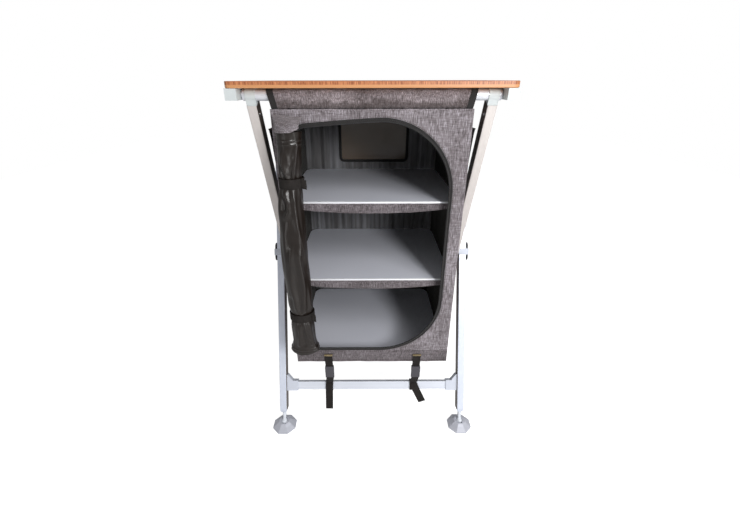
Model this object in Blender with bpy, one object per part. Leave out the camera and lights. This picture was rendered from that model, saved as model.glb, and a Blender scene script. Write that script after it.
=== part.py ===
# Camping storage unit: a bamboo tabletop on a crossed-leg frame, with a hanging
# fabric cabinet, three shelves, a rolled door, buckled straps and levelling feet.
# Metres, +Z up, front towards -Y, origin on the floor under the middle of the whole
# unit. The shapes are drawn about the crossed legs' pivot line, then moved as one.

import math

import bmesh
import bpy
from mathutils import Matrix, Vector

# Clearance between pieces that touch
GAP = 0.0003

# The rolled door stands out further than the rear feet, so all moves back by this
UNIT_SHIFT_Y = 0.0108

# Tabletop
TABLE_WIDTH = 0.585
TABLE_DEPTH = 0.430
TABLE_THICKNESS = 0.013
TABLE_CORNER_RADIUS = 0.012

# Crossed frame, seen from the side
TUBE_HEIGHT = 0.9465
TUBE_HALF_SPAN = 0.180
PIVOT_HEIGHT = 0.507
TUBE_RADIUS = 0.0110
TUBE_END_RADIUS = 0.0065
TUBE_STEP_X = 0.2660
SLEEVE_RADIUS = 0.0130

# Leg tubes
LEG_WIDTH = 0.0215
LEG_THICKNESS = 0.0300
LEG_WALL = 0.0015
INNER_LEG_X = 0.24975
PIVOT_WASHER = 0.0005
HUB_RADIUS = 0.0128
HUB_NECK = 0.0040
HUB_SPIGOT = 0.0200
PLUG_LENGTH = 0.0080
PLUG_TAPER = 0.76

# Pivot bolts
BOLT_RADIUS = 0.0040
BOLT_HEAD_RADIUS = 0.0085
BOLT_HEAD_LENGTH = 0.0048

# Lower crossbars and their corner brackets
BAR_HEIGHT_ABOVE_FLOOR = 0.1255
BAR_FACE = 0.0250
BAR_THICKNESS = 0.0120
BAR_INSERT = 0.0100
BRACKET_LENGTH = 0.0340
BRACKET_WALL = 0.0030
BRACKET_PLATE = 0.0030
BRACKET_GUSSET = 0.0180

# Levelling feet
BALL_HEIGHT = 0.0180
BALL_RADIUS = 0.0090
STEM_RADIUS = 0.0058
STEM_NECK_RADIUS = 0.0050
STEM_REACH = 0.0340
STEM_ENGAGED = 0.0780
PAD_RADIUS = 0.0370
PAD_TOP_RADIUS = 0.0190
PAD_RIM = 0.0060
PAD_HEIGHT = 0.0215
PAD_SIDES = 8

# Side rails and corner blocks under the tabletop
RAIL_HEIGHT = 0.0220
RAIL_WIDTH = 0.0080
RAIL_GROOVE = 0.0050
BLOCK_WIDTH = 0.0235
FRONT_BLOCK_DEPTH = 0.0500

# Fabric cabinet
CABINET_WIDTH = 0.420
CABINET_DEPTH = 0.400
CABINET_BOTTOM = 0.2585
FABRIC = 0.0030
SLEEVE_HALF_TOP = 0.2210
HEM_DROP = 0.0210
HEM_RADIUS = 0.0045

# Door opening, a D with its straight side under the rolled door
DOOR_LEFT = -0.168
DOOR_RIGHT = 0.174
DOOR_BOTTOM = 0.305
DOOR_TOP = 0.897
DOOR_CORNER = 0.155
DOOR_SMALL_CORNER = 0.025

# Rolled door
ROLL_TOP = 0.880
ROLL_BOTTOM = 0.318
ROLL_TOP_X = -0.1680
ROLL_BOTTOM_X = -0.1800
ROLL_TOP_RADIUS = 0.0250
ROLL_MIDDLE_RADIUS = 0.0300
ROLL_DEPTH_RATIO = 0.90
TIE_HEIGHTS = (0.776, 0.437)
TIE_WIDTH = 0.0220
TIE_THICKNESS = 0.0014

# Rear window
WINDOW_WIDTH = 0.214
WINDOW_HEIGHT = 0.130
WINDOW_BOTTOM = 0.738
WINDOW_CENTRE_X = 0.008
WINDOW_SHEET = 0.0010

# Shelves: name, height of the board's middle, front edge, hinge line, front rod
BOARD_THICKNESS = 0.0040
BOARD_BACK = 0.186
BOARD_SEAM = 0.0008
BOARD_CORNER = 0.028
ROD_RADIUS = 0.0030
SHELVES = (
    ("top", 0.7130, -0.1667, 0.000, True),
    ("middle", 0.5050, -0.1667, 0.050, True),
    ("bottom", 0.2635, -0.1650, 0.100, False),
)

# Buckled straps
STRAP_X = (-0.1215, 0.1250)
STRAP_WIDTH = 0.0220
WEBBING = 0.0012
STRAP_TOP = 0.2860
SOCKET_TOP = 0.2402
SOCKET_HEIGHT = 0.0222
SOCKET_WIDTH = 0.0250
SOCKET_THICKNESS = 0.0080
SOCKET_WALL = 0.0016
CAVITY_DEPTH = 0.0140
PLUG_HEIGHT = 0.0185
PRONG_LENGTH = 0.0120
PRONG_WIDTH = 0.0040
STRAP_TAIL = 0.0750

# Values worked out from the sizes above
LEAN = math.atan2(TUBE_HALF_SPAN, TUBE_HEIGHT - PIVOT_HEIGHT)
UPPER_LENGTH = math.hypot(TUBE_HALF_SPAN, TUBE_HEIGHT - PIVOT_HEIGHT)
LOWER_LENGTH = (PIVOT_HEIGHT - BALL_HEIGHT) / math.cos(LEAN)
BAR_REACH = (PIVOT_HEIGHT - BAR_HEIGHT_ABOVE_FLOOR) / math.cos(LEAN)
OUTER_LEG_X = INNER_LEG_X + LEG_WIDTH + PIVOT_WASHER
TABLE_BOTTOM = TUBE_HEIGHT + HUB_RADIUS + 2 * GAP
PANEL_FRONT = -CABINET_DEPTH / 2
CABINET_HALF = CABINET_WIDTH / 2
INSIDE_HALF = CABINET_HALF - FABRIC
HEM_BOTTOM = TUBE_HEIGHT - HEM_DROP - HEM_RADIUS
CABINET_TOP = HEM_BOTTOM - GAP
FLOOR_TOP = SHELVES[2][1] - BOARD_THICKNESS / 2 - GAP
RAIL_OUTER = TABLE_WIDTH / 2
RAIL_INNER = RAIL_OUTER - RAIL_WIDTH
TUBE_END_X = RAIL_INNER + RAIL_GROOVE - GAP
LEG_TOP = UPPER_LENGTH - HUB_RADIUS - HUB_NECK
LEG_BOTTOM = -(LOWER_LENGTH - STEM_REACH - PLUG_LENGTH)
ROUND_SEGMENTS = 24

# Colours: base colour, roughness, metallic
COLOURS = {
    "bamboo": ((0.62, 0.36, 0.16), 0.45, 0.0),
    "aluminium": ((0.78, 0.78, 0.80), 0.35, 1.0),
    "pale_plastic": ((0.70, 0.73, 0.73), 0.50, 0.0),
    "grey_fabric": ((0.21, 0.18, 0.19), 0.90, 0.0),
    "dark_fabric": ((0.03, 0.03, 0.03), 0.90, 0.0),
    "black_vinyl": ((0.03, 0.027, 0.025), 0.35, 0.0),
    "clear_film": ((0.85, 0.87, 0.88), 0.15, 0.0),
    "board": ((0.20, 0.21, 0.23), 0.55, 0.0),
    "steel": ((0.72, 0.72, 0.73), 0.30, 1.0),
    "webbing": ((0.02, 0.02, 0.02), 0.85, 0.0),
    "buckle_plastic": ((0.09, 0.09, 0.09), 0.45, 0.0),
    "pad_plastic": ((0.55, 0.56, 0.60), 0.50, 0.0),
}


def material(name):
    found = bpy.data.materials.get(name)
    if found:
        return found
    colour, roughness, metallic = COLOURS[name]
    made = bpy.data.materials.new(name)
    made.use_nodes = True
    shader = made.node_tree.nodes["Principled BSDF"]
    shader.inputs["Base Color"].default_value = (*colour, 1.0)
    shader.inputs["Roughness"].default_value = roughness
    shader.inputs["Metallic"].default_value = metallic
    return made


def clear_scene():
    for obj in list(bpy.data.objects):
        bpy.data.objects.remove(obj)


# Bodies are empties on their joints' axes

BODIES = {}


def add_body(name, pivot, parent=None):
    empty = bpy.data.objects.new(name + "_axis", None)
    empty.empty_display_size = 0.03
    bpy.context.collection.objects.link(empty)
    pivot = Vector(pivot)
    if parent:
        empty.parent = BODIES[parent][0]
        empty.location = pivot - BODIES[parent][1]
    else:
        empty.location = pivot
    BODIES[name] = (empty, pivot)


def add_piece(name, mesh_data, material_name, body, smooth=True):
    """Link a mesh made in world space as a child of its body's empty."""
    bmesh.ops.recalc_face_normals(mesh_data, faces=mesh_data.faces)
    empty, pivot = BODIES[body]
    bmesh.ops.translate(mesh_data, verts=mesh_data.verts, vec=-pivot)
    mesh = bpy.data.meshes.new(name)
    mesh_data.to_mesh(mesh)
    mesh_data.free()
    if smooth:
        mesh.shade_smooth()
        mesh.set_sharp_from_angle(angle=math.radians(35))
    obj = bpy.data.objects.new(name, mesh)
    bpy.context.collection.objects.link(obj)
    obj.parent = empty
    mesh.materials.append(material(material_name))
    return obj


def add_tool(name, mesh_data):
    """A hidden guide that a Boolean modifier cuts or joins with."""
    bmesh.ops.recalc_face_normals(mesh_data, faces=mesh_data.faces)
    mesh = bpy.data.meshes.new(name)
    mesh_data.to_mesh(mesh)
    mesh_data.free()
    obj = bpy.data.objects.new(name, mesh)
    bpy.context.collection.objects.link(obj)
    obj.parent = BODIES["root"][0]
    obj.hide_render = True
    obj.display_type = "WIRE"
    return obj


def combine(obj, mesh_data, operation):
    tool = add_tool(obj.name + "_" + operation.lower(), mesh_data)
    step = obj.modifiers.new(operation.title(), "BOOLEAN")
    step.operation = operation
    step.solver = "EXACT"
    step.object = tool


# Shapes

def box(low, high, into=None):
    shape = into or bmesh.new()
    low = Vector(low)
    high = Vector(high)
    size = high - low
    place = Matrix.Translation((low + high) / 2) @ Matrix.Diagonal((*size, 1.0))
    bmesh.ops.create_cube(shape, size=1.0, matrix=place)
    return shape


def rod(start, end, radius, into=None, segments=ROUND_SEGMENTS, end_radius=None):
    shape = into or bmesh.new()
    start = Vector(start)
    end = Vector(end)
    run = end - start
    turn = run.to_track_quat("Z", "Y").to_matrix().to_4x4()
    place = Matrix.Translation((start + end) / 2) @ turn
    far = radius if end_radius is None else end_radius
    bmesh.ops.create_cone(
        shape, cap_ends=True, cap_tris=False, segments=segments,
        radius1=radius, radius2=far, depth=run.length, matrix=place)
    return shape


def turned(profile, place, segments=ROUND_SEGMENTS):
    """Turn (radius, height) points about local Z, then move by a matrix."""
    shape = bmesh.new()
    rings = []
    for radius, height in profile:
        ring = []
        for step in range(segments):
            angle = 2 * math.pi * step / segments
            spot = (radius * math.cos(angle), radius * math.sin(angle), height)
            ring.append(shape.verts.new(spot))
        rings.append(ring)
    for ring, following in zip(rings, rings[1:]):
        for step in range(segments):
            after = (step + 1) % segments
            shape.faces.new((ring[step], ring[after], following[after], following[step]))
    shape.faces.new(rings[0])
    shape.faces.new(rings[-1])
    bmesh.ops.transform(shape, matrix=place, verts=shape.verts)
    return shape


def prism(outline, low, high, axis, into=None):
    """Extrude a closed 2-D outline along X, Y or Z between two planes."""
    shape = into or bmesh.new()
    spots = {
        "X": lambda a, b, c: (c, a, b),
        "Y": lambda a, b, c: (a, c, b),
        "Z": lambda a, b, c: (a, b, c),
    }[axis]
    near = [shape.verts.new(spots(a, b, low)) for a, b in outline]
    far = [shape.verts.new(spots(a, b, high)) for a, b in outline]
    count = len(outline)
    for step in range(count):
        after = (step + 1) % count
        shape.faces.new((near[step], near[after], far[after], far[step]))
    shape.faces.new(near)
    shape.faces.new(far)
    return shape


def corner_arc(centre, radius, start, end, steps):
    """Points on an arc, angles in degrees."""
    points = []
    for step in range(steps + 1):
        angle = math.radians(start + (end - start) * step / steps)
        points.append((centre[0] + radius * math.cos(angle), centre[1] + radius * math.sin(angle)))
    return points


def rounded_rectangle(low, high, radii, steps=4):
    """Counter-clockwise from the lower right corner; one radius per corner."""
    corners = (
        ((high[0] - radii[0], low[1] + radii[0]), radii[0], -90),
        ((high[0] - radii[1], high[1] - radii[1]), radii[1], 0),
        ((low[0] + radii[2], high[1] - radii[2]), radii[2], 90),
        ((low[0] + radii[3], low[1] + radii[3]), radii[3], 180),
    )
    outline = []
    for centre, radius, start in corners:
        outline += corner_arc(centre, radius, start, start + 90, steps)
    return outline


def leg_frame(lean):
    """Local Z runs up the leg and local Y is square to it, from the pivot."""
    return Matrix.Translation((0, 0, PIVOT_HEIGHT)) @ Matrix.Rotation(lean, 4, "X")


def moved(shape, matrix):
    bmesh.ops.transform(shape, matrix=matrix, verts=shape.verts)
    return shape


def sided(side, low, high):
    """X limits on the left (-1) or right (+1) side, lowest first."""
    return sorted((side * low, side * high))


# Tabletop and what is under it

def make_tabletop():
    half_width = TABLE_WIDTH / 2
    half_depth = TABLE_DEPTH / 2
    outline = rounded_rectangle(
        (-half_width, -half_depth), (half_width, half_depth), (TABLE_CORNER_RADIUS,) * 4)
    shape = prism(outline, TABLE_BOTTOM, TABLE_BOTTOM + TABLE_THICKNESS, "Z")
    top = add_piece("tabletop", shape, "bamboo", "root")
    edge = top.modifiers.new("Edge", "BEVEL")
    edge.width = 0.0015
    edge.segments = 2
    edge.limit_method = "ANGLE"


def make_rails():
    rail_top = TABLE_BOTTOM - GAP
    front_seam = -TABLE_DEPTH / 2 + FRONT_BLOCK_DEPTH
    rear_end = TABLE_DEPTH / 2
    groove = TUBE_END_RADIUS + GAP
    for side, label in ((-1, "left"), (1, "right")):
        inner, outer = sided(side, RAIL_INNER, RAIL_OUTER)
        shape = box((inner, front_seam + GAP, rail_top - RAIL_HEIGHT), (outer, rear_end, rail_top))
        rail = add_piece("side_rail_" + label, shape, "aluminium", "root")
        low, high = sided(side, RAIL_INNER - GAP, RAIL_INNER + RAIL_GROOVE)
        slot = box(
            (low, front_seam, TUBE_HEIGHT - groove),
            (high, TUBE_HALF_SPAN, TUBE_HEIGHT + groove))
        combine(rail, slot, "DIFFERENCE")
        stop = rod((low, TUBE_HALF_SPAN, TUBE_HEIGHT), (high, TUBE_HALF_SPAN, TUBE_HEIGHT), groove)
        combine(rail, stop, "DIFFERENCE")
        low, high = sided(side, RAIL_OUTER - BLOCK_WIDTH, RAIL_OUTER)
        front = -TABLE_DEPTH / 2
        shape = box((low, front, rail_top - RAIL_HEIGHT), (high, front_seam, rail_top))
        block = add_piece("front_block_" + label, shape, "pale_plastic", "root")
        start = side * (RAIL_OUTER - BLOCK_WIDTH - GAP)
        end = side * (TUBE_END_X + GAP)
        bore = rod((start, -TUBE_HALF_SPAN, TUBE_HEIGHT), (end, -TUBE_HALF_SPAN, TUBE_HEIGHT), groove)
        combine(block, bore, "DIFFERENCE")


def make_top_tube(name, body, y):
    """A tube whose thinner ends sit in the blocks or run in the rails."""
    profile = (
        (TUBE_END_RADIUS, -TUBE_END_X),
        (TUBE_END_RADIUS, -TUBE_STEP_X),
        (TUBE_RADIUS, -TUBE_STEP_X),
        (TUBE_RADIUS, TUBE_STEP_X),
        (TUBE_END_RADIUS, TUBE_STEP_X),
        (TUBE_END_RADIUS, TUBE_END_X),
    )
    place = Matrix.Translation((0, y, TUBE_HEIGHT)) @ Matrix.Rotation(math.pi / 2, 4, "Y")
    add_piece(name, turned(profile, place), "aluminium", body)


def sleeve_outline(facing):
    """Tube-shaped top that runs down to the seam over the cabinet's panel."""
    tube = Vector((0.0, 0.0))
    seam = Vector((facing * 0.0130, -HEM_DROP))
    run = seam - tube
    length = run.length
    lean = math.atan2(run.y, run.x)
    spread = math.acos((SLEEVE_RADIUS - HEM_RADIUS) / length)
    points = []
    for step in range(15):
        angle = lean + spread + (2 * math.pi - 2 * spread) * step / 14
        points.append(tube + SLEEVE_RADIUS * Vector((math.cos(angle), math.sin(angle))))
    for step in range(7):
        angle = lean - spread + 2 * spread * step / 6
        points.append(seam + HEM_RADIUS * Vector((math.cos(angle), math.sin(angle))))
    return points


def make_sleeve(name, body, y, facing):
    """Fabric channel round a top tube, with its ends slanting inwards."""
    outer = sleeve_outline(facing)
    count = len(outer)
    bore = (TUBE_RADIUS + GAP) / math.cos(math.pi / count)
    start = math.atan2(outer[0].y, outer[0].x)
    inner = []
    for step in range(count):
        angle = start + 2 * math.pi * step / count
        inner.append(bore * Vector((math.cos(angle), math.sin(angle))))
    shape = bmesh.new()
    height = SLEEVE_RADIUS + HEM_DROP + HEM_RADIUS
    rings = []
    for side in (-1, 1):
        for loop in (outer, inner):
            ring = []
            for spot in loop:
                share = (spot.y + HEM_DROP + HEM_RADIUS) / height
                x = side * (CABINET_HALF + (SLEEVE_HALF_TOP - CABINET_HALF) * share)
                ring.append(shape.verts.new((x, y + spot.x, TUBE_HEIGHT + spot.y)))
            rings.append(ring)
    left_outer, left_inner, right_outer, right_inner = rings
    for step in range(count):
        after = (step + 1) % count
        for first, second in (
                (left_outer, right_outer), (right_outer, right_inner),
                (right_inner, left_inner), (left_inner, left_outer)):
            shape.faces.new((first[step], first[after], second[after], second[step]))
    add_piece(name, shape, "grey_fabric", body)


# Crossed legs

def make_leg(name, body, side, lean, leg_x):
    """Flat tube with a tapered end plug, bored for the foot's stem."""
    half_width = LEG_WIDTH / 2
    half_depth = LEG_THICKNESS / 2
    shape = bmesh.new()
    rings = []
    plug_end = LEG_BOTTOM - PLUG_LENGTH
    for height, share in ((LEG_TOP, 1.0), (LEG_BOTTOM, 1.0), (plug_end, PLUG_TAPER)):
        outline = rounded_rectangle(
            (-half_width * share, -half_depth * share),
            (half_width * share, half_depth * share),
            (0.0025,) * 4, 2)
        rings.append([shape.verts.new((a + side * leg_x, b, height)) for a, b in outline])
    for ring, following in zip(rings, rings[1:]):
        for step in range(len(ring)):
            after = (step + 1) % len(ring)
            shape.faces.new((ring[step], ring[after], following[after], following[step]))
    shape.faces.new(rings[0])
    shape.faces.new(rings[-1])
    frame = leg_frame(lean)
    leg = add_piece(name, moved(shape, frame), "aluminium", body)
    centre = side * leg_x
    hollow = box(
        (centre - half_width + LEG_WALL, -half_depth + LEG_WALL, LEG_BOTTOM + 0.002),
        (centre + half_width - LEG_WALL, half_depth - LEG_WALL, LEG_TOP + 0.01))
    combine(leg, moved(hollow, frame), "DIFFERENCE")
    bores = rod((centre, 0, plug_end - 0.01), (centre, 0, LEG_BOTTOM + 0.01), STEM_RADIUS + GAP)
    rod((centre - LEG_WIDTH, 0, 0), (centre + LEG_WIDTH, 0, 0), BOLT_RADIUS + GAP, into=bores)
    combine(leg, moved(bores, frame), "DIFFERENCE")


def make_hub(name, body, side, lean, leg_x):
    """Plastic T round the top tube, with a spigot down inside the leg."""
    frame = leg_frame(lean)
    half = LEG_WIDTH / 2
    centre = side * leg_x
    low = centre - half
    high = centre + half
    shape = rod((low, 0, UPPER_LENGTH), (high, 0, UPPER_LENGTH), HUB_RADIUS)
    hub = add_piece(name, moved(shape, frame), "pale_plastic", body)
    neck_depth = HUB_RADIUS - 0.001
    neck = box((low + GAP, -neck_depth, LEG_TOP + GAP), (high - GAP, neck_depth, UPPER_LENGTH - 0.002))
    combine(hub, moved(neck, frame), "UNION")
    inset = LEG_WALL + GAP
    spigot = box(
        (low + inset, -LEG_THICKNESS / 2 + inset, LEG_TOP - HUB_SPIGOT),
        (high - inset, LEG_THICKNESS / 2 - inset, LEG_TOP + GAP + 0.001))
    combine(hub, moved(spigot, frame), "UNION")
    bore = rod((low - 0.01, 0, UPPER_LENGTH), (high + 0.01, 0, UPPER_LENGTH), TUBE_RADIUS + GAP)
    combine(hub, moved(bore, frame), "DIFFERENCE")


def make_pivot_bolt(name, body, side):
    """Bolt through both legs, with a head inside and a cap outside."""
    head = INNER_LEG_X - LEG_WIDTH / 2 - GAP
    cap = OUTER_LEG_X + LEG_WIDTH / 2 + GAP
    profile = (
        (BOLT_HEAD_RADIUS * 0.80, head - BOLT_HEAD_LENGTH),
        (BOLT_HEAD_RADIUS, head - BOLT_HEAD_LENGTH * 0.7),
        (BOLT_HEAD_RADIUS, head),
        (BOLT_RADIUS, head),
        (BOLT_RADIUS, cap),
        (BOLT_HEAD_RADIUS, cap),
        (BOLT_HEAD_RADIUS, cap + BOLT_HEAD_LENGTH * 0.7),
        (BOLT_HEAD_RADIUS * 0.80, cap + BOLT_HEAD_LENGTH),
    )
    turn = Matrix.Rotation(side * math.pi / 2, 4, "Y")
    place = Matrix.Translation((0, 0, PIVOT_HEIGHT)) @ turn
    add_piece(name, turned(profile, place), "steel", body)


def make_crossbar(name, body, lean, leg_x):
    """Flat tube between the two brackets of one leg frame."""
    frame = leg_frame(lean)
    half = leg_x - LEG_WIDTH / 2 - GAP - BRACKET_LENGTH + BAR_INSERT
    low = (-half, -BAR_THICKNESS / 2, -BAR_REACH - BAR_FACE / 2)
    high = (half, BAR_THICKNESS / 2, -BAR_REACH + BAR_FACE / 2)
    bar = add_piece(name, moved(box(low, high), frame), "aluminium", body)
    wall = 0.0012
    hollow = box(
        (-half - 0.01, low[1] + wall, low[2] + wall),
        (half + 0.01, high[1] - wall, high[2] - wall))
    combine(bar, moved(hollow, frame), "DIFFERENCE")


def make_bracket(name, body, side, lean, leg_x):
    """Socket for the crossbar's end, a plate on the leg and a gusset above."""
    frame = leg_frame(lean)
    outer = leg_x - LEG_WIDTH / 2 - GAP
    inner = outer - BRACKET_LENGTH
    top = -BAR_REACH + BAR_FACE / 2 + BRACKET_WALL
    bottom = -BAR_REACH - BAR_FACE / 2 - BRACKET_WALL
    outline = [
        (side * inner, bottom),
        (side * outer, bottom),
        (side * outer, top + BRACKET_GUSSET),
        (side * (outer - BRACKET_PLATE), top + BRACKET_GUSSET),
        (side * (outer - BRACKET_GUSSET), top),
        (side * inner, top),
    ]
    depth = BAR_THICKNESS / 2 + BRACKET_WALL
    shape = prism(outline, -depth, depth, "Y")
    bracket = add_piece(name, moved(shape, frame), "pale_plastic", body)
    low, high = sided(side, inner - 0.01, inner + BAR_INSERT + GAP)
    socket = box(
        (low, -BAR_THICKNESS / 2 - GAP, -BAR_REACH - BAR_FACE / 2 - GAP),
        (high, BAR_THICKNESS / 2 + GAP, -BAR_REACH + BAR_FACE / 2 + GAP))
    combine(bracket, moved(socket, frame), "DIFFERENCE")


# Levelling feet

def foot_spot(lean, side, leg_x):
    """Centre of the ball at the end of a leg."""
    return leg_frame(lean) @ Vector((side * leg_x, 0, -LOWER_LENGTH))


def make_foot(label, body, side, lean, leg_x):
    """Stem with a ball end, in a slotted eight-sided pad."""
    spot = foot_spot(lean, side, leg_x)
    add_body("stem_" + label, spot, body)
    add_body("pad_" + label, spot, "stem_" + label)
    profile = []
    for step in range(7):
        angle = math.radians(-80 + 130 * step / 6)
        profile.append((BALL_RADIUS * math.cos(angle), BALL_RADIUS * math.sin(angle)))
    profile += [
        (STEM_NECK_RADIUS, BALL_RADIUS + 0.001),
        (STEM_NECK_RADIUS, BALL_RADIUS + 0.010),
        (STEM_RADIUS, BALL_RADIUS + 0.011),
        (STEM_RADIUS, STEM_ENGAGED),
    ]
    place = Matrix.Translation(spot) @ Matrix.Rotation(lean, 4, "X")
    add_piece("foot_stem_" + label, turned(profile, place, 16), "steel", "stem_" + label)
    profile = (
        (PAD_RADIUS - 0.002, 0.0),
        (PAD_RADIUS, 0.002),
        (PAD_RADIUS, PAD_RIM),
        (PAD_TOP_RADIUS + 0.004, PAD_HEIGHT - 0.006),
        (PAD_TOP_RADIUS, PAD_HEIGHT - 0.002),
        (PAD_TOP_RADIUS - 0.003, PAD_HEIGHT),
    )
    turn = Matrix.Rotation(math.pi / PAD_SIDES, 4, "Z")
    place = Matrix.Translation((spot.x, spot.y, 0)) @ turn
    pad = add_piece("foot_pad_" + label, turned(profile, place, PAD_SIDES), "pad_plastic", "pad_" + label, False)
    socket = bmesh.new()
    bmesh.ops.create_uvsphere(
        socket, u_segments=20, v_segments=12, radius=BALL_RADIUS + 2 * GAP,
        matrix=Matrix.Translation(spot))
    combine(pad, socket, "DIFFERENCE")
    half = STEM_NECK_RADIUS + 2 * GAP
    slot = box(
        (spot.x - half, spot.y - 0.0125, BALL_HEIGHT),
        (spot.x + half, spot.y + 0.0125, PAD_HEIGHT + 0.01))
    combine(pad, slot, "DIFFERENCE")


# Fabric cabinet

def door_outline():
    """The D-shaped opening, from its lower right corner round to the left."""
    right_low = (DOOR_RIGHT - DOOR_CORNER, DOOR_BOTTOM + DOOR_CORNER)
    right_high = (DOOR_RIGHT - DOOR_CORNER, DOOR_TOP - DOOR_CORNER)
    left_high = (DOOR_LEFT + DOOR_SMALL_CORNER, DOOR_TOP - DOOR_SMALL_CORNER)
    left_low = (DOOR_LEFT + DOOR_SMALL_CORNER, DOOR_BOTTOM + DOOR_SMALL_CORNER)
    outline = corner_arc(right_low, DOOR_CORNER, -90, 0, 14)
    outline += corner_arc(right_high, DOOR_CORNER, 0, 90, 14)
    outline += corner_arc(left_high, DOOR_SMALL_CORNER, 90, 180, 4)
    outline += corner_arc(left_low, DOOR_SMALL_CORNER, 180, 270, 4)
    return outline


def make_cabinet():
    back = -PANEL_FRONT
    inside_front = PANEL_FRONT + FABRIC
    shape = box((-CABINET_HALF, PANEL_FRONT, CABINET_BOTTOM), (CABINET_HALF, inside_front, CABINET_TOP))
    front = add_piece("front_panel", shape, "grey_fabric", "root")
    opening = prism(door_outline(), PANEL_FRONT - 0.01, inside_front + 0.01, "Y")
    combine(front, opening, "DIFFERENCE")
    near = inside_front + GAP
    for side, label in ((-1, "left"), (1, "right")):
        low, high = sided(side, INSIDE_HALF, CABINET_HALF)
        shape = box((low, near, CABINET_BOTTOM), (high, -near, CABINET_TOP))
        add_piece("side_wall_" + label, shape, "grey_fabric", "root")
    half = INSIDE_HALF - GAP
    shape = box((-half, near, CABINET_TOP - FABRIC), (half, -near, CABINET_TOP))
    add_piece("cabinet_roof", shape, "dark_fabric", "root")
    shape = box((-half, near, CABINET_BOTTOM), (half, -near, FLOOR_TOP))
    add_piece("cabinet_floor", shape, "dark_fabric", "root")
    shape = box((-CABINET_HALF, back - FABRIC, CABINET_BOTTOM), (CABINET_HALF, back, CABINET_TOP))
    rear = add_piece("rear_panel", shape, "dark_fabric", "root")
    low = (WINDOW_CENTRE_X - WINDOW_WIDTH / 2, WINDOW_BOTTOM)
    high = (WINDOW_CENTRE_X + WINDOW_WIDTH / 2, WINDOW_BOTTOM + WINDOW_HEIGHT)
    hole = prism(rounded_rectangle(low, high, (0.008,) * 4), back - FABRIC - 0.01, back + 0.01, "Y")
    combine(rear, hole, "DIFFERENCE")
    outline = rounded_rectangle(
        (low[0] + GAP, low[1] + GAP), (high[0] - GAP, high[1] - GAP), (0.008 - GAP,) * 4)
    middle = back - FABRIC / 2
    sheet = prism(outline, middle - WINDOW_SHEET / 2, middle + WINDOW_SHEET / 2, "Y")
    add_piece("rear_window", sheet, "clear_film", "root")


# Rolled door

def roll_section(height):
    """Centre and half sizes of the roll at a height."""
    share = (ROLL_TOP - height) / (ROLL_TOP - ROLL_BOTTOM)
    swell = math.sin(math.pi * min(1.0, share * 1.15))
    radius = ROLL_TOP_RADIUS + (ROLL_MIDDLE_RADIUS - ROLL_TOP_RADIUS) * max(0.0, swell)
    depth = radius * ROLL_DEPTH_RATIO
    x = ROLL_TOP_X + (ROLL_BOTTOM_X - ROLL_TOP_X) * share
    y = PANEL_FRONT - TIE_THICKNESS - 2 * GAP - depth
    return x, y, radius, depth


def roll_ring(shape, height, grow, segments=20):
    x, y, radius, depth = roll_section(height)
    ring = []
    for step in range(segments):
        angle = 2 * math.pi * step / segments
        spot = (x + (radius + grow) * math.cos(angle), y + (depth + grow) * math.sin(angle), height)
        ring.append(shape.verts.new(spot))
    return ring


def bridge(shape, ring, following):
    for step in range(len(ring)):
        after = (step + 1) % len(ring)
        shape.faces.new((ring[step], ring[after], following[after], following[step]))


def make_rolled_door():
    shape = bmesh.new()
    steps = 14
    rings = []
    for step in range(steps + 1):
        height = ROLL_TOP + (ROLL_BOTTOM - ROLL_TOP) * step / steps
        rings.append(roll_ring(shape, height, 0.0))
    for ring, following in zip(rings, rings[1:]):
        bridge(shape, ring, following)
    shape.faces.new(rings[0])
    shape.faces.new(rings[-1])
    add_piece("rolled_door", shape, "black_vinyl", "root")
    for height, label in zip(TIE_HEIGHTS, ("upper", "lower")):
        shape = bmesh.new()
        top = height + TIE_WIDTH / 2
        bottom = height - TIE_WIDTH / 2
        loops = (
            roll_ring(shape, top, TIE_THICKNESS),
            roll_ring(shape, bottom, TIE_THICKNESS),
            roll_ring(shape, bottom, GAP),
            roll_ring(shape, top, GAP),
        )
        for step in range(4):
            bridge(shape, loops[step], loops[(step + 1) % 4])
        add_piece("door_tie_" + label, shape, "webbing", "root")


# Shelves

def make_shelves():
    half = INSIDE_HALF - GAP
    for label, height, front, hinge_y, has_rod in SHELVES:
        body = "shelf_" + label
        add_body(body, (0, hinge_y, height), "frame_a")
        low = height - BOARD_THICKNESS / 2
        high = height + BOARD_THICKNESS / 2
        for side, side_label in ((-1, "left"), (1, "right")):
            a, b = sided(side, BOARD_SEAM / 2, half)
            radii = (0.002, BOARD_CORNER, 0.002, 0.002)
            if side < 0:
                radii = (0.002, 0.002, BOARD_CORNER, 0.002)
            outline = rounded_rectangle((a, front), (b, BOARD_BACK), radii, 5)
            name = "shelf_board_" + label + "_" + side_label
            add_piece(name, prism(outline, low, high, "Z"), "board", body)
        if has_rod:
            y = front - GAP - ROD_RADIUS
            shape = rod((-half, y, height), (half, y, height), ROD_RADIUS, segments=12)
            add_piece("shelf_rod_" + label, shape, "steel", body)


# Buckled straps

def make_straps():
    centre_y = PANEL_FRONT - GAP - WEBBING / 2
    for x, label in zip(STRAP_X, ("left", "right")):
        half = STRAP_WIDTH / 2
        shape = box(
            (x - half, PANEL_FRONT - GAP - WEBBING, SOCKET_TOP + GAP),
            (x + half, PANEL_FRONT - GAP, STRAP_TOP))
        add_piece("strap_upper_" + label, shape, "webbing", "root")
        make_socket(x, centre_y, label)
        make_plug(x, centre_y, label)
        make_lower_strap(x, centre_y, label)


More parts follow.
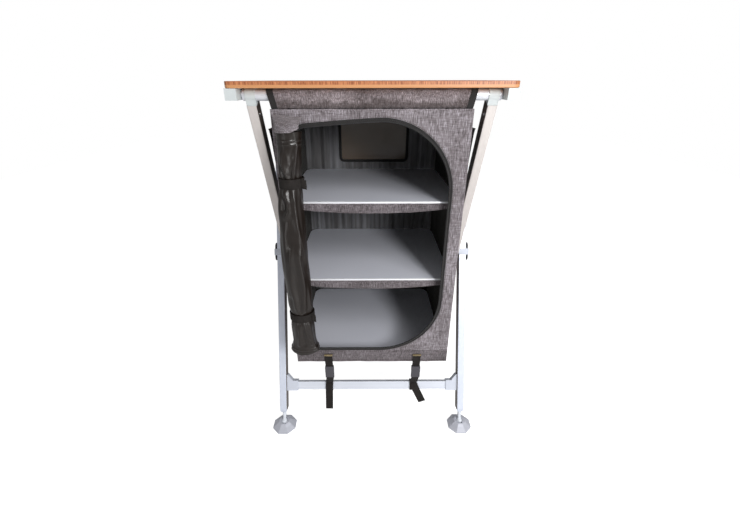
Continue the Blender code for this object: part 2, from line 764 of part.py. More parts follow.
def make_socket(x, y, label):
    half = SOCKET_WIDTH / 2
    depth = SOCKET_THICKNESS / 2
    outline = rounded_rectangle(
        (x - half, SOCKET_TOP - SOCKET_HEIGHT), (x + half, SOCKET_TOP), (0.003,) * 4)
    shape = prism(outline, y - depth, y + depth, "Y")
    socket = add_piece("buckle_socket_" + label, shape, "buckle_plastic", "root")
    half -= SOCKET_WALL
    depth -= SOCKET_WALL
    floor = SOCKET_TOP - SOCKET_HEIGHT
    cavity = box((x - half, y - depth, floor - 0.01), (x + half, y + depth, floor + CAVITY_DEPTH))
    combine(socket, cavity, "DIFFERENCE")


def make_plug(x, y, label):
    """Three-pronged half of the side-release buckle."""
    body = "plug_" + label
    top = SOCKET_TOP - SOCKET_HEIGHT - GAP
    bottom = top - PLUG_HEIGHT
    add_body(body, (x, y, top), "root")
    half = SOCKET_WIDTH / 2
    reach = half - SOCKET_WALL - 2 * GAP
    inner = reach - PRONG_WIDTH
    core = PRONG_WIDTH / 2
    outline = [
        (x - half, bottom), (x + half, bottom), (x + half, top),
        (x + reach, top), (x + reach, top + PRONG_LENGTH),
        (x + inner, top + PRONG_LENGTH), (x + inner, top),
        (x + core, top), (x + core, top + PRONG_LENGTH * 0.9),
        (x - core, top + PRONG_LENGTH * 0.9), (x - core, top),
        (x - inner, top), (x - inner, top + PRONG_LENGTH),
        (x - reach, top + PRONG_LENGTH), (x - reach, top), (x - half, top),
    ]
    depth = SOCKET_THICKNESS / 2 - SOCKET_WALL - GAP
    add_piece("buckle_plug_" + label, prism(outline, y - depth, y + depth, "Y"), "buckle_plastic", body)


def make_lower_strap(x, y, label):
    """Webbing from the plug, round the crossbar, with a hanging tail."""
    frame = leg_frame(-LEAN)
    half = STRAP_WIDTH / 2
    inner = GAP
    outer = GAP + 1.5 * WEBBING
    low = (-BAR_THICKNESS / 2, -BAR_REACH - BAR_FACE / 2)
    high = (BAR_THICKNESS / 2, -BAR_REACH + BAR_FACE / 2)
    loop = rounded_rectangle(
        (low[0] - outer, low[1] - outer), (high[0] + outer, high[1] + outer), (0.002,) * 4, 3)
    shape = moved(prism(loop, x - half, x + half, "X"), frame)
    strap = add_piece("strap_lower_" + label, shape, "webbing", "frame_b")
    hole = prism(
        [(low[0] - inner, low[1] - inner), (high[0] + inner, low[1] - inner),
         (high[0] + inner, high[1] + inner), (low[0] - inner, high[1] + inner)],
        x - half - 0.01, x + half + 0.01, "X")
    combine(strap, moved(hole, frame), "DIFFERENCE")
    bar_front = frame @ Vector((0, low[0] - outer + 0.0005, high[1] - 0.004))
    plug_bottom = SOCKET_TOP - SOCKET_HEIGHT - GAP - PLUG_HEIGHT - GAP
    run = Vector((y - bar_front.y, plug_bottom - bar_front.z)).normalized()
    across = Vector((run.y, -run.x)) * WEBBING * 0.75
    start = Vector((bar_front.y, bar_front.z)) - run * 0.001
    end = Vector((y, plug_bottom))
    strand = [
        (start.x + across.x, start.y + across.y), (start.x - across.x, start.y - across.y),
        (end.x - across.x, end.y), (end.x + across.x, end.y)]
    combine(strap, prism(strand, x - half, x + half, "X"), "UNION")
    tail_top = frame @ Vector((0, low[0] - outer, low[1] - outer / 2))
    tail = box(
        (x - half, tail_top.y - WEBBING / 2, STRAP_TAIL),
        (x + half, tail_top.y + WEBBING / 2, tail_top.z + WEBBING))
    combine(strap, tail, "UNION")


def build():
    clear_scene()
    add_body("root", (0, 0, 0))
    add_body("frame_a", (0, -TUBE_HALF_SPAN, TUBE_HEIGHT), "root")
    add_body("frame_b", (0, 0, PIVOT_HEIGHT), "frame_a")
    make_tabletop()
    make_rails()
    make_top_tube("front_tube", "root", -TUBE_HALF_SPAN)
    make_top_tube("rear_tube", "frame_b", TUBE_HALF_SPAN)
    make_sleeve("front_sleeve", "root", -TUBE_HALF_SPAN, -1)
    make_sleeve("rear_sleeve", "frame_b", TUBE_HALF_SPAN, 1)
    frames = (
        ("frame_a", LEAN, INNER_LEG_X, "a", "rear"),
        ("frame_b", -LEAN, OUTER_LEG_X, "b", "front"),
    )
    for body, lean, leg_x, letter, low_end in frames:
        make_crossbar(low_end + "_crossbar", body, lean, leg_x)
        for side, label in ((-1, "left"), (1, "right")):
            make_leg("leg_" + letter + "_" + label, body, side, lean, leg_x)
            make_hub("leg_hub_" + letter + "_" + label, body, side, lean, leg_x)
            make_bracket(low_end + "_bracket_" + label, body, side, lean, leg_x)
            make_foot(low_end + "_" + label, body, side, lean, leg_x)
    make_pivot_bolt("pivot_bolt_left", "frame_a", -1)
    make_pivot_bolt("pivot_bolt_right", "frame_a", 1)
    make_cabinet()
    make_rolled_door()
    make_shelves()
    make_straps()
    BODIES["root"][0].location.y = UNIT_SHIFT_Y


build()
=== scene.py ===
# %% [markdown]
# A folding camp cupboard: a wooden top on crossed aluminium legs, and a fabric
# cabinet that hangs between the two top tubes, with stiff shelves and a door that is
# rolled up and tied at its left side. The rigid pieces come finished from the CAD
# model. This script gives them their surfaces, and makes everything that is sewn.

# %% Load the fixed frame
import math

import bmesh
import bpy
from mathutils import Matrix, Vector, noise


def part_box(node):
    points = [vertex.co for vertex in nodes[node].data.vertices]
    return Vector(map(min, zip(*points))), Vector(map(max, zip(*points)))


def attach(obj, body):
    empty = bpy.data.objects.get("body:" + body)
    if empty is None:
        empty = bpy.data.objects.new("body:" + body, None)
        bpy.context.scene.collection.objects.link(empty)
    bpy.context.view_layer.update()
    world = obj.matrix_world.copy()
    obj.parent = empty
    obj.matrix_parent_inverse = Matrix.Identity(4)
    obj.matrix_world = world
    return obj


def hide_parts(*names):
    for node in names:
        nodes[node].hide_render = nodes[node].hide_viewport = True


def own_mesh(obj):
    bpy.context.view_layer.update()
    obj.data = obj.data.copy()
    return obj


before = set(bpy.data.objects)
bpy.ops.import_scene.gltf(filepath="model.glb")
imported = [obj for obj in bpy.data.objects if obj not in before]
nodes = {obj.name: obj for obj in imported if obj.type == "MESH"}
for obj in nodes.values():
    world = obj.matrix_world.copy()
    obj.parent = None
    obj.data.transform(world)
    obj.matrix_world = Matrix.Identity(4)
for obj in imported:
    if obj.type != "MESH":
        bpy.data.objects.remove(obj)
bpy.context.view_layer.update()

SIDES = ((-1, "left"), (1, "right"))
UNIT_SHIFT_Y = 0.0108  # the whole unit stands this far back, to centre its box
PIVOT_Z = 0.507
TUBE_Y, TUBE_Z = 0.180, 0.9465  # the top tubes' middles, before that shift
LEAN = math.atan2(TUBE_Y, TUBE_Z - PIVOT_Z)


# %% [markdown]
# The camera comes first, because every other choice is judged through it. A real
# photograph gives away where it was taken from: the shelves' front and back edges,
# the legs and the feet only line up from one spot. Fitting about forty such points
# gave the spot, the tilt and the lens, so no picture shift is needed. The spot is
# level with the top's upper face, which is why none of that face shows.

# %% Camera
LENS_PIXELS = 366.9
PICTURE_WIDTH = 740
SENSOR_WIDTH = 36.0
CAMERA_SPOT = (-0.0064, -1.0076 + UNIT_SHIFT_Y, 0.9750)
TILT_DOWN = math.radians(25.81)
TURN_RIGHT = 0.0016
ROLL = -0.002

camera_data = bpy.data.cameras.new("photo_camera")
camera_data.sensor_width = SENSOR_WIDTH
camera_data.lens = LENS_PIXELS / PICTURE_WIDTH * SENSOR_WIDTH
camera = bpy.data.objects.new("photo_camera", camera_data)
bpy.context.collection.objects.link(camera)
ahead = Vector((math.sin(TURN_RIGHT), math.cos(TURN_RIGHT), 0.0))
level_right = Vector((math.cos(TURN_RIGHT), -math.sin(TURN_RIGHT), 0.0))
upright = Vector((0, 0, 1))
view = ahead * math.cos(TILT_DOWN) - upright * math.sin(TILT_DOWN)
level_up = ahead * math.sin(TILT_DOWN) + upright * math.cos(TILT_DOWN)
right = level_right * math.cos(ROLL) + level_up * math.sin(ROLL)
up = level_up * math.cos(ROLL) - level_right * math.sin(ROLL)
turn = Matrix((right, up, -view)).transposed().to_4x4()
camera.matrix_world = Matrix.Translation(CAMERA_SPOT) @ turn
bpy.context.scene.camera = camera
print("lens", round(camera_data.lens, 2), "mm")

# %% [markdown]
# A finish here is a small recipe of nodes. Wiring nodes by hand hides the idea, so
# two small classes let a recipe be written as sums. A Field wraps one socket, and
# adding or multiplying Fields adds the Math nodes. A Finish holds one material.
# Noise is always laid in object coordinates, in specks per metre along each axis.

# %% Shader maths
def paint(red, green, blue):
    """A colour as an eye-dropper shows it, 0 to 255, as the linear value shaders use."""
    linear = []
    for value in (red, green, blue):
        share = value / 255
        linear.append(share / 12.92 if share <= 0.04045 else ((share + 0.055) / 1.055) ** 2.4)
    return (*linear, 1.0)


def feed(tree, socket, value):
    """Give an input a value, or wire it to an output."""
    if isinstance(value, Field):
        value = value.socket
    if isinstance(value, bpy.types.NodeSocket):
        tree.links.new(value, socket)
    else:
        socket.default_value = value


def add_node(tree, kind, inputs=None, **settings):
    made = tree.nodes.new(kind)
    for name, value in settings.items():
        setattr(made, name, value)
    for name, value in (inputs or {}).items():
        feed(tree, made.inputs[name], value)
    return made


class Field:
    """One socket of a material: a value that changes over the surface."""

    def __init__(self, finish, socket):
        self.finish = finish
        self.socket = socket

    def math(self, operation, other=0.0, **settings):
        inputs = {0: self, 1: other}
        return self.finish.node("ShaderNodeMath", inputs, operation=operation, **settings)

    def __add__(self, other):
        return self.math("ADD", other)

    def __sub__(self, other):
        return self.math("SUBTRACT", other)

    def __mul__(self, other):
        return self.math("MULTIPLY", other)

    def above(self, limit):
        return self.math("GREATER_THAN", limit)

    def wave(self):
        return self.math("SINE")

    def held(self):
        return self.math("ADD", use_clamp=True)


class Finish:
    """One material, built from its colour outwards."""

    def __init__(self, name, colour, roughness, metallic=0.0, **sockets):
        self.material = bpy.data.materials.new(name)
        self.material.use_nodes = True
        self.tree = self.material.node_tree
        self.shader = self.tree.nodes["Principled BSDF"]
        sockets.update(Base_Color=colour, Roughness=roughness, Metallic=metallic)
        for socket, value in sockets.items():
            self.set(socket.replace("_", " "), value)

    def set(self, socket, value):
        feed(self.tree, self.shader.inputs[socket], value)

    def node(self, kind, inputs=None, output=0, **settings):
        return Field(self, add_node(self.tree, kind, inputs, **settings).outputs[output])

    def place(self, scale=1, turn=(0, 0, 0)):
        spot = self.node("ShaderNodeTexCoord", output="Object")
        scale = scale if isinstance(scale, tuple) else (scale, scale, scale)
        return self.node("ShaderNodeMapping", {"Vector": spot, "Scale": scale, "Rotation": turn})

    def parts(self, scale=1):
        split = add_node(self.tree, "ShaderNodeSeparateXYZ", {0: self.place(scale)})
        return [Field(self, output) for output in split.outputs]

    def cloud(self, scale, detail=2.0, roughness=0.5, turn=(0, 0, 0)):
        inputs = {"Vector": self.place(scale, turn), "Scale": 1.0,
                  "Detail": detail, "Roughness": roughness}
        return self.node("ShaderNodeTexNoise", inputs)

    def mix(self, share, first, second):
        inputs = {0: share, 6: first, 7: second}
        return self.node("ShaderNodeMix", inputs, output=2, data_type="RGBA")

    def bump(self, height, distance, strength):
        inputs = {"Height": height, "Distance": distance, "Strength": strength}
        self.set("Normal", self.node("ShaderNodeBump", inputs))


# %% [markdown]
# The photograph is a plain cut-out on white. A pale floor and a pale world stand in
# for that, and through Light Path both look white to the camera. The lamps are
# plain: a wide key above, a smaller one at the right that leaves the right side of
# each shelf in the shade, and two strips that draw a line of light on the legs.

# %% Floor, world and lamps
ROOM_LIGHT = 0.34
FLOOR_GLOW = 0.74
WHITE = (1.0, 1.0, 1.0, 1.0)
LAMPS = (
    # name, place, what it aims at, width, height, watts
    ("key_lamp", (1.0, -1.65, 2.1), (0, 0, 0.6), 1.0, 1.0, 16),
    ("front_lamp", (0.70, -1.6, 1.22), (0, 0.1, 0.5), 0.35, 0.35, 14.5),
    ("right_strip", (1.25, -1.25, 0.42), (0, 0, 0.42), 0.22, 0.70, 5.8),
    ("left_strip", (-1.10, -1.45, 0.42), (-0.1, 0, 0.42), 0.16, 0.60, 2.0),
)

world = bpy.data.worlds.new("studio")
bpy.context.scene.world = world
world.use_nodes = True
sky = world.node_tree
rays = add_node(sky, "ShaderNodeLightPath").outputs
seen = add_node(sky, "ShaderNodeMath", {0: rays["Is Camera Ray"], 1: rays["Is Transmission Ray"]},
                operation="MAXIMUM")
level = add_node(sky, "ShaderNodeMapRange",
                 {"To Min": ROOM_LIGHT, "To Max": 1.0, "Value": seen.outputs[0]})
feed(sky, sky.nodes["Background"].inputs["Strength"], level.outputs[0])
feed(sky, sky.nodes["Background"].inputs["Color"], WHITE)

floor_mesh = bpy.data.meshes.new("floor")
floor_mesh.from_pydata([(-4, -3, 0), (4, -3, 0), (4, 6, 0), (-4, 6, 0)], [], [(0, 1, 2, 3)])
floor = bpy.data.objects.new("floor", floor_mesh)
bpy.context.collection.objects.link(floor)
floor_paint = Finish("floor_paint", (0.86, 0.86, 0.86, 1.0), 0.9, Specular_IOR_Level=0.1)
seen = floor_paint.node("ShaderNodeLightPath", output="Is Camera Ray")
floor_paint.set("Emission Color", seen * FLOOR_GLOW)
floor_paint.set("Emission Strength", 1.0)
floor_mesh.materials.append(floor_paint.material)

for name, place, aim, width, height, watts in LAMPS:
    light = bpy.data.lights.new(name, "AREA")
    light.shape = "RECTANGLE"
    light.size, light.size_y, light.energy = width, height, watts
    lamp = bpy.data.objects.new(name, light)
    bpy.context.collection.objects.link(lamp)
    lamp.location = place
    lamp.rotation_euler = (Vector(aim) - Vector(place)).to_track_quat("-Z", "Y").to_euler()
bpy.context.scene.view_settings.view_transform = "Standard"

# %% [markdown]
# The case is sewn from a grey melange: light and dark yarns are spun together, so the
# cloth shows short streaks along both thread directions. Noise that is stretched
# along Z gives the warp, noise that is stretched along X and Y gives the weft, and
# their sum picks between a dark, a middle and a light grey. A finer weave goes into
# the bump, because at arm's length it is felt more than seen. Low down the cloth is
# painted a little darker, as painted shade; on the sleeves only their underside is.

# %% Melange cloth
def melange(name, dark, middle, light, painted_low_shade=(0.46, 2.2, 0.30, 0.6)):
    """The last argument sets the painted shade low down: the height it starts at, how fast it
    grows, how strong and how wavy it is.
    """
    top, growth, strength, waviness = painted_low_shade
    cloth = Finish(name, middle, 0.92, Specular_IOR_Level=0.25, Sheen_Weight=0.15)
    warp = cloth.cloud((900, 900, 52), 2.0, 0.7)
    weft = cloth.cloud((60, 60, 1500), 1.0, 0.6)
    patch = cloth.cloud(14, 3.0)
    yarn = ((warp + weft * 0.45 - 0.725) * 2.3 + 0.5 + (patch - 0.5) * 0.6).held()
    lower = cloth.mix((yarn * 2.0).held(), dark, middle)
    yarns = cloth.mix((yarn * 2.0 - 1.0).held(), lower, light)
    height = cloth.parts()[2]
    waves = cloth.cloud((34, 34, 70), turn=(0, 0.5, 0))
    # painted shade: the cloth is painted darker low down, and on the sleeves on their underside
    painted_shade = ((height * -1.0 + top) * growth + (waves - 0.5) * waviness).held()
    cloth.set("Base Color", cloth.mix(painted_shade * strength, yarns, paint(58, 50, 48)))
    x, y, z = cloth.parts(3600)
    cloth.bump((x + y).wave() * z.wave() * 0.35 + yarn, 0.0004, 0.6)
    return cloth.material


grey_cloth = melange("grey_melange", paint(70, 64, 66), paint(118, 111, 114),
                     paint(175, 169, 176))
# shaded_melange is a darker copy of the same cloth: painted shade for the valance and the shelf
# hems
shaded_cloth = melange("shaded_melange", paint(56, 51, 52), paint(98, 91, 94),
                       paint(146, 139, 144))
# the sleeves get painted shade on their underside, below about 0.94 m
sleeve_cloth = melange("sleeve_melange", paint(70, 63, 64), paint(118, 109, 111),
                       paint(178, 168, 173), painted_low_shade=(0.9400, 110.0, 0.66, 3.2))

# %% [markdown]
# The lining, mesh pockets and bindings are plain black cloth. Pure black would lose
# every fold, so they are a dark grey with a slight sheen on their weave. The back is
# painted lighter in upright streaks: painted highlights where its pleats catch the light.

# %% Black cloth, threads and webbing
def plain_cloth(name, colour, weave_size, sheen):
    cloth = Finish(name, colour, 0.88, Specular_IOR_Level=0.3, Sheen_Weight=sheen)
    brighter = tuple(min(1.0, value * 1.8) for value in colour[:3]) + (1.0,)
    cloth.set("Base Color", cloth.mix(cloth.cloud(60, 3.0), colour, brighter))
    x, y, z = cloth.parts(2 * math.pi / weave_size)
    cloth.bump((x + y).wave() * z.wave(), 0.0003, 0.5)
    return cloth.material


lining_cloth = plain_cloth("black_lining", paint(30, 28, 24), 0.0016, 0.05)
binding_cloth = plain_cloth("black_binding", paint(32, 31, 31), 0.0022, 0.2)
khaki_thread = plain_cloth("khaki_thread", paint(128, 114, 86), 0.0012, 0.1)
grey_thread = plain_cloth("grey_thread", paint(58, 54, 54), 0.0009, 0.0)
pale_thread = plain_cloth("pale_thread", paint(66, 63, 61), 0.0009, 0.0)

pleats = Finish("pleated_back", paint(57, 57, 60), 0.7, Sheen_Weight=0.2)
streak = pleats.cloud((62, 62, 2.0), 2.5, 0.55)
# painted highlight: the back's colour is lighter in upright streaks where the pleats catch the
# light
share = ((streak - 0.40) * 2.6 + (pleats.cloud(9) - 0.5)).held()
pleats.set("Base Color", pleats.mix(share, paint(90, 89, 90), paint(143, 144, 149)))
pleats.bump(streak, 0.004, 0.6)
pleated_cloth = pleats.material

ribbed = Finish("black_webbing", paint(34, 33, 34), 0.85, Specular_IOR_Level=0.22)
rib_x, _, rib_z = ribbed.parts((2800, 0, 5200))
ribbed.bump(rib_x.wave() * 0.6 + rib_z.wave() * 0.4, 0.0004, 0.7)
ribbed.set("Base Color", ribbed.mix(ribbed.cloud(90), paint(25, 22, 21), paint(47, 43, 41)))
webbing = ribbed.material

# %% [markdown]
# The door is a coated sheet, close to vinyl: nearly black, but it catches long soft
# highlights on each crease. That comes from a low roughness that varies in patches,
# and from a leather-like grain of small cells in the bump.

# %% Vinyl, clear film and board
coated = Finish("black_vinyl", paint(38, 35, 33), 0.34, Specular_IOR_Level=0.45)
patches = coated.cloud((14, 14, 22), 3.0)
cells = coated.node("ShaderNodeTexVoronoi", {"Vector": coated.place(), "Scale": 900.0},
                    feature="F1")
coated.set("Roughness", patches * 0.12 + 0.25)
coated.set("Base Color", coated.mix(patches, paint(22, 17, 14), paint(38, 31, 27)))
coated.bump(cells * 0.05 + coated.cloud((48, 48, 14)) * 0.7, 0.0016, 0.5)
vinyl = coated.material

film = Finish("clear_film", paint(104, 88, 72), 0.12, Specular_IOR_Level=0.5)
smoke = film.cloud(16)
film.set("Alpha", smoke * 0.1 + 0.87)
film.bump(smoke, 0.002, 0.3)
clear_film = film.material

board = Finish("shelf_board", paint(128, 130, 139), 0.46, Specular_IOR_Level=0.45)
speckle, wide = board.cloud(260, 3.0), board.cloud(5)
share = (speckle * 0.4 + wide * 0.6).held()
board.set("Base Color", board.mix(share, paint(226, 228, 240), paint(243, 245, 254)))
board.set("Roughness", wide * 0.16 + 0.34)
board.bump(speckle, 0.0002, 0.35)
shelf_board = board.material

# %% [markdown]
# The legs are satin anodised tube. Drawn aluminium keeps faint lines along its
# length, so the noise is stretched along the leg, and since the two legs of a side
# lean opposite ways, each lean gets its own turned copy. The legs' inner faces and
# the crossbars' upper face are painted dark: painted shade and a painted reflection of the dark
# case.

# %% Aluminium, steel and plastics
def anodised(name, low, high, along, lean=0.0, dark=None, inner=None, top=None):
    """along: the tube's axis; dark: the colour of the painted shade on the faces past inner or
    top.
    """
    metal = Finish(name, high, 0.34, 0.30)
    scale = tuple(3.0 if axis == along else 240.0 for axis in "XYZ")
    lines = metal.cloud(scale, turn=(-lean, 0, 0))
    haze = metal.cloud(7, 3.0)
    colour = metal.mix((lines * 0.5 + haze * 0.5).held(), low, high)
    # painted shade and reflection: faces past inner or top are painted dark, standing for the
    # dark case they mirror
    if inner:
        across = metal.parts()[0]
        colour = metal.mix((across * across).above(inner ** 2), dark, colour)
    if top:
        colour = metal.mix(metal.parts()[2].above(top), colour, dark)
    metal.set("Base Color", colour)
    metal.set("Roughness", haze * 0.16 + lines * 0.08 + 0.26)
    metal.bump(lines, 0.00012, 0.4)
    return metal.material


def moulded(name, colour, roughness, metallic=0.0):
    plastic = Finish(name, colour, roughness, metallic, Specular_IOR_Level=0.45)
    age = plastic.cloud(30, 3.0)
    darker = tuple(value * 0.86 for value in colour[:3]) + (1.0,)
    plastic.set("Base Color", plastic.mix(age, darker, colour))
    plastic.set("Roughness", age * 0.15 + (roughness - 0.07))
    plastic.bump(plastic.cloud(1400, 1.0), 0.00015, 0.4)
    return plastic.material


BAR_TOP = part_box("front_crossbar")[1][2]
# dark is painted shade: the legs' inner faces and the bar's top face, where the dark case would
# be mirrored
leg_a_metal = anodised("anodised_leg_a", paint(206, 198, 194), paint(236, 230, 227), "Z",
                       lean=LEAN, dark=paint(84, 76, 70), inner=0.2399)
leg_b_metal = anodised("anodised_leg_b", paint(210, 217, 234), paint(236, 241, 252), "Z",
                       lean=-LEAN, dark=paint(104, 96, 92), inner=0.2619)
bar_metal = anodised("anodised_bar", paint(214, 219, 232), paint(240, 244, 252), "X",
                     dark=paint(66, 60, 56), top=BAR_TOP - 0.0006)
tube_metal = anodised("anodised_tube", paint(210, 212, 220), paint(240, 242, 248), "X")
rod_metal = anodised("anodised_rod", paint(236, 238, 245), paint(252, 253, 255), "X")
rail_metal = anodised("anodised_rail", paint(206, 208, 212), paint(234, 235, 240), "Y")

pale_plastic = moulded("pale_plastic", paint(212, 218, 219), 0.46)
bracket_plastic = moulded("bracket_plastic", paint(213, 218, 230), 0.46)
stem_plastic = moulded("stem_plastic", paint(228, 232, 240), 0.34)
foot_plastic = moulded("foot_plastic", paint(200, 202, 212), 0.52, metallic=0.15)
buckle_plastic = moulded("buckle_plastic", paint(72, 70, 76), 0.42)
black_plastic = moulded("black_plastic", paint(38, 38, 40), 0.45)

steel = Finish("bright_steel", paint(214, 214, 216), 0.22, 1.0)
steel.set("Roughness", steel.cloud(200) * 0.2 + 0.14)
bright_steel = steel.material

# %% [markdown]
# The top is bamboo board, glued from two layers: the edge is golden below, and above
# it shows the reddish ends of the upper layer's strips. The face has long strips
# along X. One recipe makes all three, and the height within the board picks one.

# %% Bamboo
GLUE_LINE = 0.0062
EDGE_ROUND = 0.0012
top_low, top_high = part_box("tabletop")
wood = Finish("bamboo", paint(200, 132, 80), 0.42, Coat_Weight=0.25, Coat_Roughness=0.25)
height = wood.parts()[2]
fibre = wood.cloud((14, 900, 900))
tone = (wood.cloud((1.2, 130, 130), 1.0) * 0.7 + fibre * 0.5 - 0.1).held()
grain_ends = ((wood.cloud((420, 420, 40)) - 0.5) * 3.0 + 0.5).held()
face = wood.mix(tone, paint(150, 84, 50), paint(214, 140, 96))
upper_ply = wood.mix(grain_ends, paint(140, 76, 42), paint(206, 136, 90))
lower_ply = wood.mix(tone, paint(192, 129, 81), paint(214, 157, 107))
edge = wood.mix(height.above(top_low[2] + GLUE_LINE), lower_ply, upper_ply)
wood.set("Base Color", wood.mix(height.above(top_high[2] - EDGE_ROUND), edge, face))
wood.set("Roughness", fibre * 0.2 + 0.32)
wood.bump(fibre, 0.0002, 0.4)
bamboo = wood.material

# %% [markdown]
# The rigid CAD pieces keep their shape, so a finish is all they need. The first table
# says which finish goes with which name. The second says, for the pieces made here,
# which of the part's material slots each finish belongs to.

# %% Finish the rigid pieces
FINISHES = {
    "tabletop": bamboo, "side_rail": rail_metal, "front_block": pale_plastic,
    "front_tube": tube_metal, "rear_tube": tube_metal, "leg_hub": pale_plastic,
    "leg_a": leg_a_metal, "leg_b": leg_b_metal, "front_crossbar": bar_metal,
    "rear_crossbar": bar_metal, "front_bracket": bracket_plastic,
    "rear_bracket": bracket_plastic, "pivot_bolt": bright_steel, "foot_stem": stem_plastic,
    "foot_pad": foot_plastic, "shelf_board": shelf_board, "shelf_rod": rod_metal,
    "buckle_socket": buckle_plastic, "buckle_plug": buckle_plastic,
}
SLOTS = {
    "grey_fabric": (grey_cloth, shaded_cloth, sleeve_cloth, grey_thread),
    "dark_fabric": (lining_cloth, binding_cloth, pleated_cloth),
    "webbing": (webbing, khaki_thread), "black_vinyl": (vinyl, pale_thread),
    "clear_film": (clear_film,), "board": (shelf_board,), "steel": (bright_steel,),
    "pale_plastic": (black_plastic, bracket_plastic),
}
finished = 0
for start, finish in FINISHES.items():
    for name, piece in nodes.items():
        if name.startswith(start):
            if not piece.material_slots:
                piece.data.materials.append(finish)
            for place in piece.material_slots:
                place.material = finish
            finished += 1
print("rigid pieces finished:", finished)

# %% [markdown]
# Cloth is a surface first. Each sewn piece starts as a single layer of quads, moved a
# little so that it bulges and creases, and only then gets its thickness from
# Solidify, which can also give the inner side another material: the case is grey
# outside and black inside.

# %% Make a sheet of cloth
CLOTH = 0.0014  # thickness
panel_low, panel_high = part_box("front_panel")
PANEL_Y = panel_low[1]


def keep_piece(name, mesh, body, finish, slot=None):
    piece = bpy.data.objects.new(name, mesh)
    bpy.context.collection.objects.link(piece)
    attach(piece, body)
    slot or next(slot for slot in SLOTS if finish in SLOTS[slot])
    return piece


def bake(piece):
    """Turn what the modifiers make into the piece's own plain mesh."""
    bpy.context.view_layer.update()
    shown = piece.evaluated_get(bpy.context.evaluated_depsgraph_get())
    mesh = bpy.data.meshes.new_from_object(shown)
    old = piece.data
    piece.modifiers.clear()
    piece.data = mesh
    mesh.name = piece.name
    bpy.data.meshes.remove(old)


def smooth(piece, sharp_angle):
    piece.data.shade_smooth()
    piece.data.set_sharp_from_angle(angle=math.radians(sharp_angle))


def folds(piece):
    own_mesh(piece)
    return piece


def sew(name, points, quads, thickness, finish, body="root", inside=None, sharp_angle=50):
    mesh = bpy.data.meshes.new(name)
    mesh.from_pydata([tuple(point) for point in points], [], quads)
    mesh.materials.append(finish)
    mesh.materials.append(inside or finish)
    piece = keep_piece(name, mesh, body, finish)
    if thickness:
        wall = piece.modifiers.new("Wall", "SOLIDIFY")
        wall.thickness = thickness
        wall.offset = 0.0
        wall.material_offset = 1 if inside else 0
        bake(piece)
    shape = bmesh.new()
    shape.from_mesh(piece.data)
    bmesh.ops.recalc_face_normals(shape, faces=shape.faces)
    shape.to_mesh(piece.data)
    shape.free()
    smooth(piece, sharp_angle)
    return piece


def grid_quads(columns, rows, closed=False, tube=False, keep=None):
    """Quads between columns * rows points, column by column. closed joins the last
    column to the first, and tube joins the last row to the first."""
    quads = []
    for column in range(columns if closed else columns - 1):
        after = (column + 1) % columns
        for row in range(rows if tube else rows - 1):
            over = (row + 1) % rows
            if not keep or keep(column, row):
                quads.append((column * rows + row, after * rows + row,
                              after * rows + over, column * rows + over))
    return quads


def weave(name, columns, rows, spot, thickness, finish, body="root", inside=None,
          node=None, folding=False, flip=False, **joined):
    """Sew the grid of spot(column, row). node is the CAD node that it stands for."""
    points = [spot(column, row) for column in columns for row in rows]
    quads = grid_quads(len(columns), len(rows), **joined)
    if flip:
        quads = [quad[::-1] for quad in quads]
    piece = sew(name, points, quads, thickness, finish, body, inside)
    if node:
        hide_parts(node)
    return folds(piece) if folding else piece


# %% [markdown]
# A few rules of thumb shape all the cloth: even steps, an arch that is nothing at
# both ends, ripples, a bell round one spot, soft folds and sharp creases from fixed
# noise, and round corners.

# %% Small shapes
def span(low, high, count):
    return [low + (high - low) * step / (count - 1) for step in range(count)]


def clamp(value):
    return min(1.0, max(0.0, value))


def ease(share):
    return share * share * (3 - 2 * share)


def arch(share):
    return math.sin(math.pi * share)


def ripple(place, length):
    return math.sin(place * 2 * math.pi / length)


def bell(away, width):
    return math.exp(-(away / width) ** 2)


def crease(a, b, seed, reach=1.0):
    """Soft folds from -1 to 1, the same each run."""
    return noise.noise(Vector((a * reach, b * reach, seed)))


def ridge(a, b, seed, reach=1.0):
    """Sharp creases: 1 along thin lines and 0 between them."""
    return 1.0 - min(1.0, abs(crease(a, b, seed, reach)) * 3.2)


def arc(x, y, radius, start, sweep, steps):
    """Points round x, y from the angle start, over sweep degrees."""
    angles = [math.radians(start + sweep * step / steps) for step in range(steps + 1)]
    return [Vector((x + radius * math.cos(angle), y + radius * math.sin(angle)))
            for angle in angles]


def even_loop(rough, spacing):
    """Points at even steps along a closed line."""
    count = len(rough)
    lengths = [(rough[(step + 1) % count] - rough[step]).length for step in range(count)]
    total = sum(lengths)
    even = round(total / spacing)
    points = []
    step = 0
    passed = 0.0
    for index in range(even):
        wanted = total * index / even
        while passed + lengths[step] < wanted:
            passed += lengths[step]
            step += 1
        share = (wanted - passed) / lengths[step] if lengths[step] else 0.0
        points.append(rough[step].lerp(rough[(step + 1) % count], share))
    return points


def follow(stops, place):
    """The values at a place along a line of (place, values...), eased between its stops."""
    held = min(max(place, stops[0][0]), stops[-1][0])
    for low, high in zip(stops, stops[1:]):
        if low[0] <= held <= high[0]:
            part = ease((held - low[0]) / (high[0] - low[0]))
            values = [start + (end - start) * part for start, end in zip(low[1:], high[1:])]
    return values


print("an even arch:", [round(arch(share), 3) for share in span(0, 1, 5)])

# %% [markdown]
# Stitches, zip teeth and rivets repeat, so Geometry Nodes make them. A tree sets
# beads along a path, each turned to the path's direction, or domes on points, turned
# to one direction. It realises its instances and sets its material, because an
# export drops what is only instanced.

